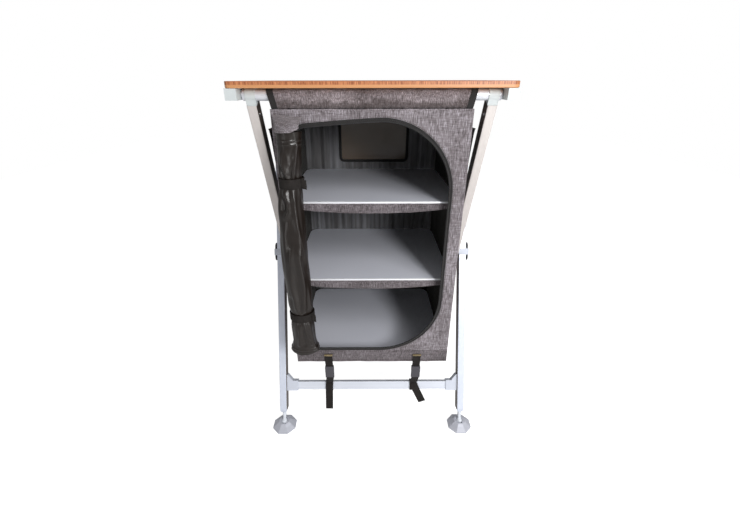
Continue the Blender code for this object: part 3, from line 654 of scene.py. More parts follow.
# %% Beads and domes
def bead_tree(name, extra, extra_kind, segments, rings):
    tree = bpy.data.node_groups.new(name, "GeometryNodeTree")
    for socket, kind in (("Geometry", "Geometry"), (extra, extra_kind), ("Length", "Float"),
                         ("Width", "Float"), ("Finish", "Material")):
        tree.interface.new_socket(name=socket, in_out="INPUT", socket_type="NodeSocket" + kind)
    tree.interface.new_socket(name="Geometry", in_out="OUTPUT", socket_type="NodeSocketGeometry")
    given = add_node(tree, "NodeGroupInput").outputs
    spots, direction = given["Geometry"], given[extra]
    if extra == "Spacing":
        path = add_node(tree, "GeometryNodeMeshToCurve", {0: spots})
        spread = add_node(tree, "GeometryNodeCurveToPoints",
                          {"Curve": path.outputs[0], "Length": given["Spacing"]}, mode="LENGTH")
        spots, direction = spread.outputs["Points"], spread.outputs["Tangent"]
    bead = add_node(tree, "GeometryNodeMeshUVSphere",
                    {"Segments": segments, "Rings": rings, "Radius": 1.0})
    halves = [add_node(tree, "ShaderNodeMath", {0: given[way], 1: 0.5}, operation="MULTIPLY")
              for way in ("Width", "Width", "Length")]
    scale = add_node(tree, "ShaderNodeCombineXYZ",
                     {axis: half.outputs[0] for axis, half in enumerate(halves)})
    facing = add_node(tree, "FunctionNodeAlignRotationToVector", {"Vector": direction}, axis="Z")
    copies = add_node(tree, "GeometryNodeInstanceOnPoints", {
        "Points": spots, "Instance": bead.outputs["Mesh"],
        "Rotation": facing.outputs[0], "Scale": scale.outputs[0]})
    real = add_node(tree, "GeometryNodeRealizeInstances", {0: copies.outputs[0]})
    coat = add_node(tree, "GeometryNodeSetMaterial",
                    {"Geometry": real.outputs[0], "Material": given["Finish"]})
    add_node(tree, "NodeGroupOutput", {0: coat.outputs[0]})
    return tree


path_tree = bead_tree("beads_along_path", "Spacing", "Float", 6, 4)
dome_tree = bead_tree("domes_at_points", "Facing", "Vector", 14, 8)


def repeat(name, tree, points, edges, values, body, slot=None):
    """Run a tree over points, or over the path that edges make of them."""
    mesh = bpy.data.meshes.new(name)
    mesh.from_pydata([tuple(point) for point in points], edges, [])
    piece = keep_piece(name, mesh, body, values["Finish"], slot)
    step = piece.modifiers.new("Repeat", "NODES")
    step.node_group = tree
    for socket in tree.interface.items_tree:
        if socket.in_out == "INPUT" and socket.name in values:
            step[socket.identifier] = values[socket.name]
    bake(piece)
    piece.data.shade_smooth()
    return piece


def beads(name, points, spacing, length, width, finish, body="root", closed=False, slot=None):
    edges = [(step, step + 1) for step in range(len(points) - 1)]
    if closed:
        edges.append((len(points) - 1, 0))
    values = {"Spacing": spacing, "Length": length, "Width": width, "Finish": finish}
    return repeat(name, path_tree, points, edges, values, body, slot)


def stitches(name, points, body="root", thread=grey_thread, closed=False, spacing=0.0042):
    return beads(name, points, spacing, spacing * 0.68, 0.0008, thread, body, closed)


def domes(name, points, facing, width, height, finish, body):
    values = {"Facing": facing, "Length": height * 2, "Width": width, "Finish": finish}
    return repeat(name, dome_tree, points, [], values, body)


# %% [markdown]
# The front panel is one cloth with a D-shaped door opening. Rings of quads run from
# the opening's edge out to the panel's edge, so the zip can follow the inner ring
# exactly, and the cloth can bulge between the two. The opening's upper edge falls
# towards the roll at its left.

# %% Door opening
DOOR_LEFT, DOOR_RIGHT = -0.168, 0.174
DOOR_BOTTOM, DOOR_TOP = 0.305, 0.897
DOOR_RADII = (0.155, 0.155, 0.025, 0.025)  # low right, high right, high left, low left
DOOR_MIDDLE = Vector((0.003, 0.60))
DOOR_FALL, FALL_START, FALL_LENGTH = 0.0140, 0.03, 0.20  # the upper edge, to the left
DOOR_RISE = 0.0012


def round_corners(left, right, low, high, radii, grow, steps):
    """A rectangle's rounded edge, from its lower right corner, moved outwards by grow."""
    points = []
    for x, z, radius, start in zip((right, right, left, left), (low, high, high, low),
                                   radii, (-90, 0, 90, 180)):
        x += radius if x == left else -radius
        z += radius if z == low else -radius
        points += arc(x, z, radius + grow, start, 90, steps)
    return points


def door_loop(grow, spacing=0.006):
    """Points round the opening, moved outwards by grow."""
    rough = round_corners(DOOR_LEFT, DOOR_RIGHT, DOOR_BOTTOM, DOOR_TOP, DOOR_RADII, grow, 24)
    for spot in rough:
        near_top = clamp((spot.y - 0.80) / 0.06)
        spot.y -= DOOR_FALL * near_top * max(0.0, (FALL_START - spot.x) / FALL_LENGTH) ** 1.3
    rough = even_loop(rough, 0.004)
    for spot in rough:
        across = clamp((spot.x + 0.16) / 0.20)
        if spot.y > 0.87 and 0.0 < across < 1.0:
            spot.y += DOOR_RISE * arch(across)
    return even_loop(rough, spacing)


def reach_edge(centre, points, low, high):
    """Where rays from the centre through the points meet a rectangle, corners included."""
    met = []
    for point in points:
        way = point - centre
        limits = []
        for axis in range(2):
            if abs(way[axis]) > 1e-9:
                edge = high[axis] if way[axis] > 0 else low[axis]
                limits.append((edge - centre[axis]) / way[axis])
        met.append(centre + way * min(limits))
    for x in (low[0], high[0]):
        for z in (low[1], high[1]):
            corner = Vector((x, z))
            nearest = min(range(len(met)), key=lambda step: (met[step] - corner).length)
            met[nearest] = corner
    return met


inner_ring = door_loop(0.0)
outer_ring = reach_edge(
    DOOR_MIDDLE, inner_ring,
    (panel_low[0] + 0.0003, panel_low[2] + 0.001), (panel_high[0] - 0.0003, panel_high[2]))
print("opening's edge:", len(inner_ring), "points")

# %% Front panel
def panel_spot(ends, share):
    spot = ends[0].lerp(ends[1], share)
    puff = 0.0012 * crease(spot.x, spot.y, 3.1, 16)
    puff += 0.0007 * ridge(spot.x, spot.y * 0.6, 8.7, 24)
    puff += 0.0022 * bell(spot.y - 0.312, 0.012)
    return (spot.x, PANEL_Y + CLOTH - 0.0014 * arch(share) ** 0.6 - puff * arch(share), spot.y)


weave("front_cloth", list(zip(inner_ring, outer_ring)), span(1, 0, 15), panel_spot, CLOTH,
      grey_cloth, inside=lining_cloth, node="front_panel", closed=True)

# %% [markdown]
# Along the foot of the panel a second strip of the same cloth is sewn on. It hides
# the floor's edge and carries the straps. Its lower edge is never quite straight.

# %% Valance
VALANCE_TOP = 0.2975


def valance_spot(x, share):
    hem = panel_low[2] - 0.0008 + 0.0010 * crease(x, 0, 5.5, 22)
    z = VALANCE_TOP + (hem - VALANCE_TOP) * share
    out = 0.0022 * arch(min(1.0, share * 1.6)) * (0.6 + 0.4 * crease(x, 0, 1.7, 30))
    out += 0.0012 + 0.0012 * crease(x, z, 2.2, 34) * share
    return (x, PANEL_Y - out, z)


weave("valance", span(panel_low[0] + 0.0006, panel_high[0] - 0.0006, 90), span(0, 1, 9),
      valance_spot, 0.0012, shaded_cloth)
for name, out, z in (("valance_stitches", 0.0023, VALANCE_TOP - 0.004),
                     ("hem_stitches", 0.0033, panel_low[2] + 0.006)):
    stitches(name, [(x, PANEL_Y - out, z) for x in span(-0.207, 0.207, 40)])

# %% [markdown]
# The zip runs round the opening as two dark lines: its tape, and the cord-like edge
# that hides its teeth. A flat profile is swept along the ring, and the teeth are
# beads on the inner edge.

# %% Zip
def sweep_flat(name, loop, profile, y, finish):
    """Sweep (across, out) points along a closed loop that faces the front."""
    points = []
    for step, here in enumerate(loop):
        along = (loop[(step + 1) % len(loop)] - loop[step - 1]).normalized()
        outwards = Vector((along.y, -along.x))
        for across, out in profile:
            spot = here + outwards * across
            points.append((spot.x, y - out, spot.y))
    quads = grid_quads(len(loop), len(profile), closed=True, tube=True)
    return sew(name, points, quads, 0, finish, sharp_angle=60)


ZIP_PROFILE = (
    (-0.0010, -0.0008), (-0.0010, 0.0016), (-0.0002, 0.0026), (0.0010, 0.0026),
    (0.0017, 0.0016), (0.0023, 0.0010), (0.0040, 0.0010), (0.0046, 0.0022),
    (0.0062, 0.0024), (0.0072, 0.0018), (0.0075, 0.0006), (0.0075, -0.0008),
)
sweep_flat("zip_tape", door_loop(0.0, 0.007), ZIP_PROFILE, PANEL_Y, binding_cloth)
teeth = [(spot.x, PANEL_Y - 0.0010, spot.y) for spot in door_loop(-0.0012, 0.007)]
beads("zip_teeth", teeth, spacing=0.0026, length=0.0016, width=0.0020,
      finish=black_plastic, closed=True, slot="dark_fabric")
for label, grow, out in (("inner", 0.0031, 0.0013), ("outer", 0.0092, 0.0010)):
    line = [(spot.x, PANEL_Y - out, spot.y) for spot in door_loop(grow, 0.009)]
    stitches("zip_stitches_" + label, line, closed=True)

# %% [markdown]
# Each top tube carries the case in a sleeve, a channel that narrows to the seam under
# the tube. The same outline, swept along X, makes both. Its ends slant inwards and
# are bound with wide black tape.

# %% Sleeves
TUBE_RADIUS, SEAM_RADIUS = 0.0127, 0.0038
HEM_DROP, HEM_OUT = 0.0210, 0.0130  # from the tube's middle to the seam's
SLEEVE_HALF, SLEEVE_SLANT = 0.2058, 0.0102  # half length below, and what the top adds


def heading(angle):
    return Vector((math.cos(angle), math.sin(angle)))


def sleeve_outline(facing, grow=0.0):
    """Round the tube, in to the seam, round the seam, and back."""
    tube, seam = TUBE_RADIUS + grow, SEAM_RADIUS + grow
    middle = Vector((facing * HEM_OUT, -HEM_DROP))
    lean = math.atan2(middle.y, middle.x)
    spread = math.acos((tube - seam) / middle.length)
    outline = [tube * heading(angle)
               for angle in span(lean + spread, lean - spread + 2 * math.pi, 28)]
    meets = middle + seam * heading(lean - spread)
    outline += [outline[-1].lerp(meets, step / 6) for step in range(1, 6)]
    outline += [middle + seam * heading(angle) for angle in span(lean - spread, lean + spread, 9)]
    for step in range(5):
        outline.append(outline[-1].lerp(outline[0], 1 / (6 - step)))
    return outline


def sleeve_point(share, spot, y, facing, fold):
    """A point at a share of the sleeve's half length, which grows with the height."""
    x = share * (SLEEVE_HALF + SLEEVE_SLANT * (spot.y + HEM_DROP + 0.0045) / 0.0390)
    around = math.atan2(spot.y, spot.x)
    wrinkle = 0.0013 * crease(x + 0.012 * around, around * 0.05, 4.2 + facing, 30)
    wrinkle += 0.0012 * ridge(x * 2.2 + 0.02 * around, around * 0.03, 9.9 + facing, 22)
    gathers = math.sin(x * 2 * math.pi / 0.013 + 2 * crease(x, 0, 6.0, 12))
    wrinkle += 0.0009 * bell(spot.y + HEM_DROP, 0.008) * gathers
    grown = spot + spot.normalized() * wrinkle * fold
    return (x, y + grown.x, TUBE_Z + grown.y)


def make_sleeve(node, body, facing):
    y = facing * TUBE_Y + UNIT_SHIFT_Y
    weave(node + "_cloth", sleeve_outline(facing), span(-1, 1, 170),
          lambda spot, share: sleeve_point(share, spot, y, facing, 1 - abs(share) ** 30),
          0.0011, sleeve_cloth, body, lining_cloth, node, closed=True)
    for side, label in SIDES:
        weave(node + "_tape_" + label, sleeve_outline(facing, 0.0010),
              span(side * 1.004, side * 0.939, 6),
              lambda spot, share: sleeve_point(share, spot, y, facing, 0.35),
              0.0009, binding_cloth, body, closed=True)
    line = [(x, y + facing * 0.0172, TUBE_Z - HEM_DROP) for x in span(-0.195, 0.195, 40)]
    stitches(node + "_stitches", line, body)


make_sleeve("front_sleeve", "root", -1)
make_sleeve("rear_sleeve", "frame_b", 1)

# %% [markdown]
# The side walls hang from the roof and are only held at their edges, so they show a
# soft belly and creases that run down from the corners. The vertices are moved in
# code: the belly is millimetres deep, and a simulation would not show more. Behind,
# they run on a little past the panel's box, which closes the corner to the back.

# %% Side walls
WALL_X, WALL_SEAM_X = 0.2086, 0.2096
WALL_BEHIND = 0.0022


def make_side_wall(side, label):
    low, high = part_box("side_wall_" + label)

    def wall_spot(y, z):
        across = min(1.0, (y - low[1]) / (high[1] - low[1]))
        height = (z - low[2]) / (high[2] - low[2])
        pinned = min(1.0, 9 * across, 9 * (1 - across)) * min(1.0, 12 * height, 12 * (1 - height))
        belly = 0.0020 * arch(across) * arch(height)
        fold = 0.0022 * crease(y, z * 0.5, 11.3 + side, 9)
        fold += 0.0014 * ridge(y + z * 0.35, z * 0.3, side, 13)
        return (side * (WALL_X + belly + max(-0.0008, fold) * pinned), y, z)

    weave("wall_cloth_" + label, span(low[1], high[1] + WALL_BEHIND, 84),
          span(low[2] + 0.0006, high[2], 124), wall_spot, CLOTH, grey_cloth,
          inside=lining_cloth, node="side_wall_" + label, folding=True, flip=side < 0)
    for end, y in (("front", low[1] + 0.006), ("rear", high[1] - 0.006)):
        line = [(side * WALL_SEAM_X, y, z) for z in span(low[2] + 0.01, high[2] - 0.01, 40)]
        folds(stitches("wall_stitches_%s_%s" % (label, end), line))


for side, label in SIDES:
    make_side_wall(side, label)

# %% [markdown]
# High on each side sits a black mesh pocket. Its top edge has gone slack and stands
# away from the wall, which is why a dark wedge shows past the panel's edge.

# %% Side pockets
POCKET_X, POCKET_SLACK = 0.2118, 0.0155
POCKET_FRONT, POCKET_REAR = -0.185, 0.150
POCKET_LOW, POCKET_HIGH = 0.715, 0.878


def make_pocket(side, label):
    def pocket_spot(y, z):
        across = (y - POCKET_FRONT) / (POCKET_REAR - POCKET_FRONT)
        height = (z - POCKET_LOW) / (POCKET_HIGH - POCKET_LOW)
        open_end = min(1.0, 7 * (1 - across)) * min(1.0, 0.45 + 6 * across)
        stand = POCKET_SLACK * max(0.0, (height - 0.42) / 0.58) ** 1.1 * open_end
        frill = 0.0010 * ripple(y, 0.034) * height
        droop = 0.004 * arch(across) * height
        return (side * (POCKET_X + stand + frill), y + UNIT_SHIFT_Y, z - droop)

    places = span(POCKET_FRONT, POCKET_REAR, 40)
    weave("side_pocket_" + label, places, span(POCKET_LOW, POCKET_HIGH, 30), pocket_spot,
          0.0010, binding_cloth, folding=True)
    rim = [pocket_spot(y, POCKET_HIGH) for y in places]
    folds(beads("pocket_rim_" + label, rim, spacing=0.0030, length=0.0050, width=0.0026,
                finish=binding_cloth))


for side, label in SIDES:
    make_pocket(side, label)

# %% [markdown]
# The back is black cloth with a window of smoky film. Held by its top only, it
# gathers into upright pleats, deepest beside the window. The grid leaves out the
# window's cells, and a tape frames the film.

# %% Back with its window
WINDOW_LEFT, WINDOW_RIGHT = -0.099, 0.115
WINDOW_LOW, WINDOW_HIGH = 0.738, 0.868
PLEAT_DEPTH, WIDE_PLEAT, NARROW_PLEAT = 0.0024, 0.031, 0.0173
back_low, back_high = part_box("rear_panel")
BACK_Y = (back_low[1] + back_high[1]) / 2


def lines_through(low, high, stops, step):
    """Grid lines from low to high that also pass through the stops."""
    places = [low, *stops, high]
    lines = [low]
    for start, end in zip(places, places[1:]):
        count = max(1, round((end - start) / step))
        lines += [start + (end - start) * (index + 1) / count for index in range(count)]
    return lines


back_x = lines_through(back_low[0] + 0.0005, back_high[0] - 0.0005,
                       (WINDOW_LEFT, WINDOW_RIGHT), 0.0045)
back_z = lines_through(back_low[2] + 0.0005, back_high[2], (WINDOW_LOW, WINDOW_HIGH), 0.009)


def outside_window(column, row):
    x = (back_x[column] + back_x[column + 1]) / 2
    z = (back_z[row] + back_z[row + 1]) / 2
    return not (WINDOW_LEFT < x < WINDOW_RIGHT and WINDOW_LOW < z < WINDOW_HIGH)


def back_spot(x, z):
    edge = min(1.0, (0.2095 - abs(x)) / 0.02, (back_z[-1] - z) / 0.05 + 0.15,
               (z - back_z[0]) / 0.05)
    beside = max(0.0, WINDOW_LEFT - x, x - WINDOW_RIGHT, WINDOW_LOW - z, z - WINDOW_HIGH)
    free = max(0.0, edge) * min(1.0, beside / 0.03)
    sway = 0.008 * crease(x * 0.3, z, 14.0, 6)
    pleat = ripple(x + sway, WIDE_PLEAT) + 0.6 * ripple(x - sway, NARROW_PLEAT)
    return (x, BACK_Y - PLEAT_DEPTH * pleat * free, z)


weave("back_cloth", back_x, back_z, back_spot, CLOTH, pleated_cloth, inside=lining_cloth,
      node="rear_panel", folding=True, keep=outside_window)
weave("window_film", span(WINDOW_LEFT - 0.003, WINDOW_RIGHT + 0.003, 24),
      span(WINDOW_LOW - 0.003, WINDOW_HIGH + 0.003, 16),
      lambda x, z: (x, BACK_Y + 0.0006 * crease(x, z, 2.0, 14), z),
      0.0005, clear_film, node="rear_window", folding=True)
FRAME_PROFILE = ((-0.004, 0.0024), (-0.0036, 0.0032), (0.0036, 0.0032), (0.004, 0.0024),
                 (0.004, -0.0024), (0.0036, -0.0032), (-0.0036, -0.0032), (-0.004, -0.0024))
window_edge = round_corners(WINDOW_LEFT, WINDOW_RIGHT, WINDOW_LOW, WINDOW_HIGH,
                            (0.012,) * 4, -0.001, 8)
folds(sweep_flat("window_frame", even_loop(window_edge, 0.005), FRAME_PROFILE, BACK_Y,
                 binding_cloth))

# %% [markdown]
# Roof and floor are plain black cloth. The roof sags a little between its seams. The
# floor lies flat, because the lowest shelf boards rest on it, and reaches out under
# the walls and the back, which closes the edge between them.

# %% Roof and floor
for node, sag, reach in (("cabinet_roof", 0.0035, 0.0), ("cabinet_floor", 0.0, 0.0014)):
    low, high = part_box(node)
    middle = (low[2] + high[2]) / 2 if sag else low[2] + 0.0008

    def sagging_spot(x, y):
        free = arch((x - low[0]) / (high[0] - low[0])) * arch((y - low[1]) / (high[1] - low[1]))
        uneven = 0.0006 * crease(x, y, 17.0, 14) if sag else 0.0
        return (x, y, middle + (uneven - sag) * free)

    weave(node + "_cloth", span(low[0] - reach, high[0] + reach, 40),
          span(low[1], high[1] + reach, 40), sagging_spot, CLOTH, lining_cloth, node=node,
          folding=True)

# %% [markdown]
# The door is a real roll here: one long sheet wound almost three times on itself, so
# its top end shows the spiral. Every height has its own radius. The ties pinch it,
# the vinyl gathers above and below them, and both hems stand out as double rings.
# The largest folds are drawn one by one, as they run in the photograph.

# %% Rolled door
ROLL_TOP, ROLL_BOTTOM = 0.880, 0.326
ROLL_TURNS, ROLL_START = 2.9, math.radians(80)
ROLL_FLAT = 0.90  # its depth as a share of its width
LAYER_STEP, VINYL_THICK = 0.0030, 0.0011
TIE_HEIGHTS = (0.776, 0.437)
HEM_RINGS = (0.8640, 0.8570, 0.3400, 0.3320)
OUTER_STEPS, INNER_STEPS = 120, 66
# The roll's middle line: height, place along X and radius
ROLL_LINE = (
    (0.326, -0.1762, 0.0300), (0.377, -0.1772, 0.0298), (0.437, -0.1782, 0.0300),
    (0.490, -0.1786, 0.0308), (0.600, -0.1806, 0.0316), (0.700, -0.1793, 0.0294),
    (0.787, -0.1735, 0.0260), (0.884, -0.1692, 0.0254),
)
# Each drawn fold: how far it stands out, its width in degrees, and its way as (z, angle)
DRAWN_FOLDS = (
    (0.0044, 11, ((0.446, 272), (0.480, 258), (0.530, 250), (0.590, 258), (0.640, 266))),
    (0.0040, 11, ((0.446, 280), (0.480, 295), (0.530, 303), (0.590, 297), (0.640, 288))),
    (-0.0034, 17, ((0.446, 276), (0.470, 276), (0.520, 276), (0.590, 277))),
    (0.0036, 9, ((0.428, 268), (0.400, 262), (0.372, 254), (0.352, 250))),
    (0.0044, 10, ((0.428, 284), (0.400, 290), (0.372, 298), (0.350, 304))),
    (-0.0030, 12, ((0.428, 276), (0.400, 276), (0.372, 278), (0.352, 280))),
    (0.0030, 10, ((0.428, 306), (0.400, 318), (0.372, 326), (0.352, 330))),
    (0.0040, 12, ((0.786, 262), (0.800, 250), (0.822, 240), (0.845, 236))),
    (-0.0046, 15, ((0.786, 250), (0.796, 240), (0.806, 232), (0.820, 226))),
    (0.0040, 12, ((0.786, 290), (0.810, 300), (0.838, 309), (0.860, 314))),
    (-0.0036, 14, ((0.786, 278), (0.806, 280), (0.830, 286), (0.850, 292))),
    (0.0046, 13, ((0.766, 246), (0.752, 252), (0.738, 262), (0.722, 266), (0.708, 258),
                  (0.700, 246))),
    (-0.0058, 17, ((0.758, 236), (0.744, 240), (0.728, 244), (0.714, 240))),
    (0.0034, 12, ((0.766, 288), (0.740, 292), (0.700, 298), (0.660, 302), (0.610, 304))),
    (0.0026, 16, ((0.690, 240), (0.650, 236), (0.600, 240), (0.550, 236), (0.500, 232))),
)


def roll_middle(z):
    x, radius = follow(ROLL_LINE, z)
    for tie in TIE_HEIGHTS:
        radius *= 1 - 0.10 * bell(z - tie, 0.018)
    radius *= 1 + 0.05 * bell(z - ROLL_TOP, 0.010)
    return x, PANEL_Y - 0.0020 - radius * ROLL_FLAT, radius


def drawn_fold(degrees, z):
    total = 0.0
    for height, width, way in DRAWN_FOLDS:
        stops = sorted(way)
        low, high = stops[0][0] - 0.004, stops[-1][0] + 0.004
        if low < z < high:
            fade = 0.012 if height > 0 and high - low < 0.108 else 0.030
            ends = ease(clamp(min((z - low) / 0.012, (high - z) / fade)))
            total += height * ends * bell(degrees - follow(stops, z)[0], width)
    return total


def roll_fold(angle, z, share):
    """How far the outer turn stands in or out at an angle and a height."""
    outer = 1 - 0.96 * max(0.0, share - 1 / ROLL_TURNS)
    fold = 0.0018 * crease(angle * 0.35, z * 3.2, 21.0, 2.4)
    fold += 0.0012 * ridge(angle * 0.30, z * 5.0 + angle * 0.4, 23.0, 2.0)
    for tie in TIE_HEIGHTS:
        away = abs(z - tie)
        gather = math.exp(-away / 0.040) * (1 - bell(away, 0.010))
        fold += 0.0010 * gather * math.sin(angle * 9 + 5 * crease(z, 0, 3.0, 9))
    for ring in HEM_RINGS:
        fold += 0.0010 * bell(z - ring, 0.0022)
    return (fold + drawn_fold(math.degrees(angle), z)) * outer


def roll_outline(z):
    """The spiral at one height: its outer side inwards, then its inner side back."""
    x, y, radius = roll_middle(z)
    wide = 1 + 0.25 * bell(z - ROLL_BOTTOM - 0.004, 0.020)
    turns = [step / OUTER_STEPS for step in range(OUTER_STEPS)]
    sides = ([], [])
    for turned in turns + span(1, ROLL_TURNS, INNER_STEPS):
        angle = ROLL_START + 2 * math.pi * turned
        reach = radius - LAYER_STEP * turned
        reach += roll_fold(angle % (2 * math.pi), z, turned / ROLL_TURNS)
        for side, inset in zip(sides, (0.0, VINYL_THICK)):
            spot = Vector((wide * math.cos(angle), ROLL_FLAT * math.sin(angle))) * (reach - inset)
            side.append((x + spot.x, y + spot.y, z))
    return sides[0] + sides[1][::-1]


heights = span(ROLL_BOTTOM, ROLL_BOTTOM + 0.036, 25)[:-1]
heights += span(ROLL_BOTTOM + 0.036, ROLL_TOP - 0.034, 130)
heights += span(ROLL_TOP - 0.034, ROLL_TOP, 24)[1:]
points = []
for z in heights:
    wave = 0.0018 * crease(z, 0, 30.0, 3)
    ragged = 0.0025 if z in (heights[0], heights[-1]) else 0.0
    points += [(x + wave, y, z + ragged * crease(x, y, 31.0, 30)) for x, y, z in roll_outline(z)]
count = len(points) // len(heights)
quads = grid_quads(len(heights), count, tube=True)
for base in (0, len(points) - count):
    for step in range(count // 2 - 1):
        quads.append((base + step, base + step + 1, base + count - 2 - step,
                      base + count - 1 - step))
door_roll = sew("door_roll", points, quads, 0, vinyl, sharp_angle=70)
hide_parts("rolled_door")
for step, ring in enumerate(HEM_RINGS):
    middle_x, middle_y, _ = roll_middle(ring)
    seam = [(middle_x + (x - middle_x) * 1.012, middle_y + (y - middle_y) * 1.012, z)
            for x, y, z in roll_outline(ring)[:OUTER_STEPS:3]]
    stitches("roll_stitches_%d" % step, seam, thread=pale_thread, spacing=0.0030)
print("rolled door:", len(door_roll.data.polygons), "faces")

# %% [markdown]
# The panel's cloth bulges over the top end of the roll like an eyelid. Its upper row
# lies flat on the panel, its lower row follows the roll's round front, and the rows
# between them blend the two.

# %% Cloth over the roll's top
COVER_Y = PANEL_Y - 0.0022
roll_x, roll_y, roll_radius = roll_middle(0.884)


def cover_spot(share, down):
    angle = math.radians(168 + 152 * share)
    low_x = roll_x + (roll_radius + 0.0030) * math.cos(angle)
    low_y = roll_y + (roll_radius * ROLL_FLAT + 0.0026) * math.sin(angle)
    low_z = 0.8800 + 0.0085 * max(0.0, (share - 0.62) / 0.38) ** 2
    low_z += 0.0010 * crease(share, 0, 51.0, 7)
    high_x, high_z = -0.2075 + 0.062 * share, 0.9110 - 0.0060 * share
    over = math.sin(down * math.pi / 2)
    x = high_x + (low_x - high_x) * over
    y = COVER_Y + (low_y - COVER_Y) * over - 0.0008 * crease(share, down, 52.0, 5) * arch(down)
    z = high_z + (low_z - high_z) * (1 - math.cos(down * math.pi / 2)) ** 0.8
    return (x, min(y, PANEL_Y - 0.0018), z)


weave("roll_cover", span(0, 1, 40), span(0, 1, 14), cover_spot, CLOTH, grey_cloth)

# %% [markdown]
# Two webbing ties hold the roll. Each loop follows the roll's own pinched outline and
# ends in a short free tab at the right.

# %% Ties
TIE_HALF, TIE_THICK = 0.0105, 0.0013
TIE_GAP = 0.0030  # from the roll to the webbing's middle


def make_tie(z_middle, label):
    x, y, radius = roll_middle(z_middle)

    def loop_spot(step, z):
        angle = 2 * math.pi * step / 72
        reach = radius + roll_fold(angle, z_middle, 0.0) * 0.5 + TIE_GAP
        return (x + reach * math.cos(angle), y + ROLL_FLAT * reach * math.sin(angle), z)

    def tab_spot(share, height):
        out = 0.52 * radius + 0.002 + 0.002 * share + 0.0015 * math.sin(3 * share)
        return (x + (radius + TIE_GAP) * 0.80 + 0.013 * share, y - out,
                z_middle + 0.0100 * height - 0.003 * share ** 2)

    weave("door_tie_%s_loop" % label, range(72),
          span(z_middle + TIE_HALF, z_middle - TIE_HALF, 9), loop_spot, TIE_THICK, webbing,
          node="door_tie_" + label, closed=True)
    weave("door_tie_%s_tab" % label, span(0, 1, 9), span(1, -1, 5), tab_spot, TIE_THICK, webbing)


make_tie(TIE_HEIGHTS[0], "upper")
make_tie(TIE_HEIGHTS[1], "lower")

# %% [markdown]
# Under the front rod of the two upper shelves hangs a hem of the case's cloth, deeper
# in the middle, and a black sling runs back from it under the boards.

# %% Shelf hems and slings
HEM_EDGE, HEM_BELLY = 0.0085, 0.0155  # the drop at its ends, and what the middle adds


def make_hem(label):
    low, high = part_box("shelf_rod_" + label)
    rod_y = (low[1] + high[1]) / 2

    def hem_spot(x, share):
        drop = HEM_EDGE + HEM_BELLY * max(0.0, 1 - (x / high[0]) ** 2) ** 0.8
        z = low[2] + 0.0012 - drop * share
        out = 0.0016 + 0.0020 * arch(share * 0.8) + 0.0010 * crease(x, z, 40.0, 34) * share
        return (x, rod_y - out, z)

    weave("shelf_hem_" + label, span(low[0] + 0.001, high[0] - 0.001, 80), span(0, 1, 8),
          hem_spot, 0.0013, shaded_cloth, "shelf_" + label)
    board_low, board_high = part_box("shelf_board_%s_left" % label)
    weave("shelf_sling_" + label, span(low[0] + 0.002, high[0] - 0.002, 30),
          span(rod_y, board_high[1], 30), lambda x, y: (x, y, board_low[2] - 0.0006),
          0.0005, lining_cloth, "shelf_" + label)


make_hem("top")
make_hem("middle")

# %% [markdown]
# Each shelf is two boards side by side. A narrow plastic strip lies between them,
# nearly level with their faces, so that only a fine line shows.

# %% Joints between the shelf boards
for label in ("top", "middle", "bottom"):
    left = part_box("shelf_board_%s_left" % label)
    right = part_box("shelf_board_%s_right" % label)
    middle = (left[1][0] + right[0][0]) / 2
    weave("board_joint_" + label, span(middle - 0.0020, middle + 0.0020, 3),
          span(left[0][1] + 0.001, left[1][1] - 0.001, 12),
          lambda x, y: (x, y, left[1][2] - 0.0006), 0.0004, shelf_board, "shelf_" + label)

# %% [markdown]
# The straps hold the case's foot to the crossbar: webbing sewn to the valance under a
# khaki stitched edge, a side-release buckle, and webbing round the bar with a free
# tail. The piece between plug and bar rides with the plug, so that a released buckle
# keeps its webbing.

# %% Straps
WEBBING_WIDTH, WEBBING_THICK = 0.0215, 0.0013
TAIL_WIDTH = 0.0225
BAR_HALF_Y, BAR_HALF_Z, BAR_CORNER = 0.0084, 0.0149, 0.003  # the loop round the bar
bar_low, bar_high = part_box("front_crossbar")
bar_middle = (Vector(bar_low) + Vector(bar_high)) / 2


def ribbon(name, path, width, body="root"):
    """A flat band whose width lies along X, from (x, y, z) points along its middle."""
    points = []
    for step, spot in enumerate(path):
        ends = Vector(path[max(0, step - 1)]), Vector(path[min(len(path) - 1, step + 1)])
        along = (ends[1] - ends[0]).normalized()
        across = (Vector((1, 0, 0)) - along * along.x).normalized()
        points += [Vector(spot) + across * width * share for share in span(-0.5, 0.5, 5)]
    return sew(name, points, grid_quads(len(path), 5), WEBBING_THICK, webbing, body)


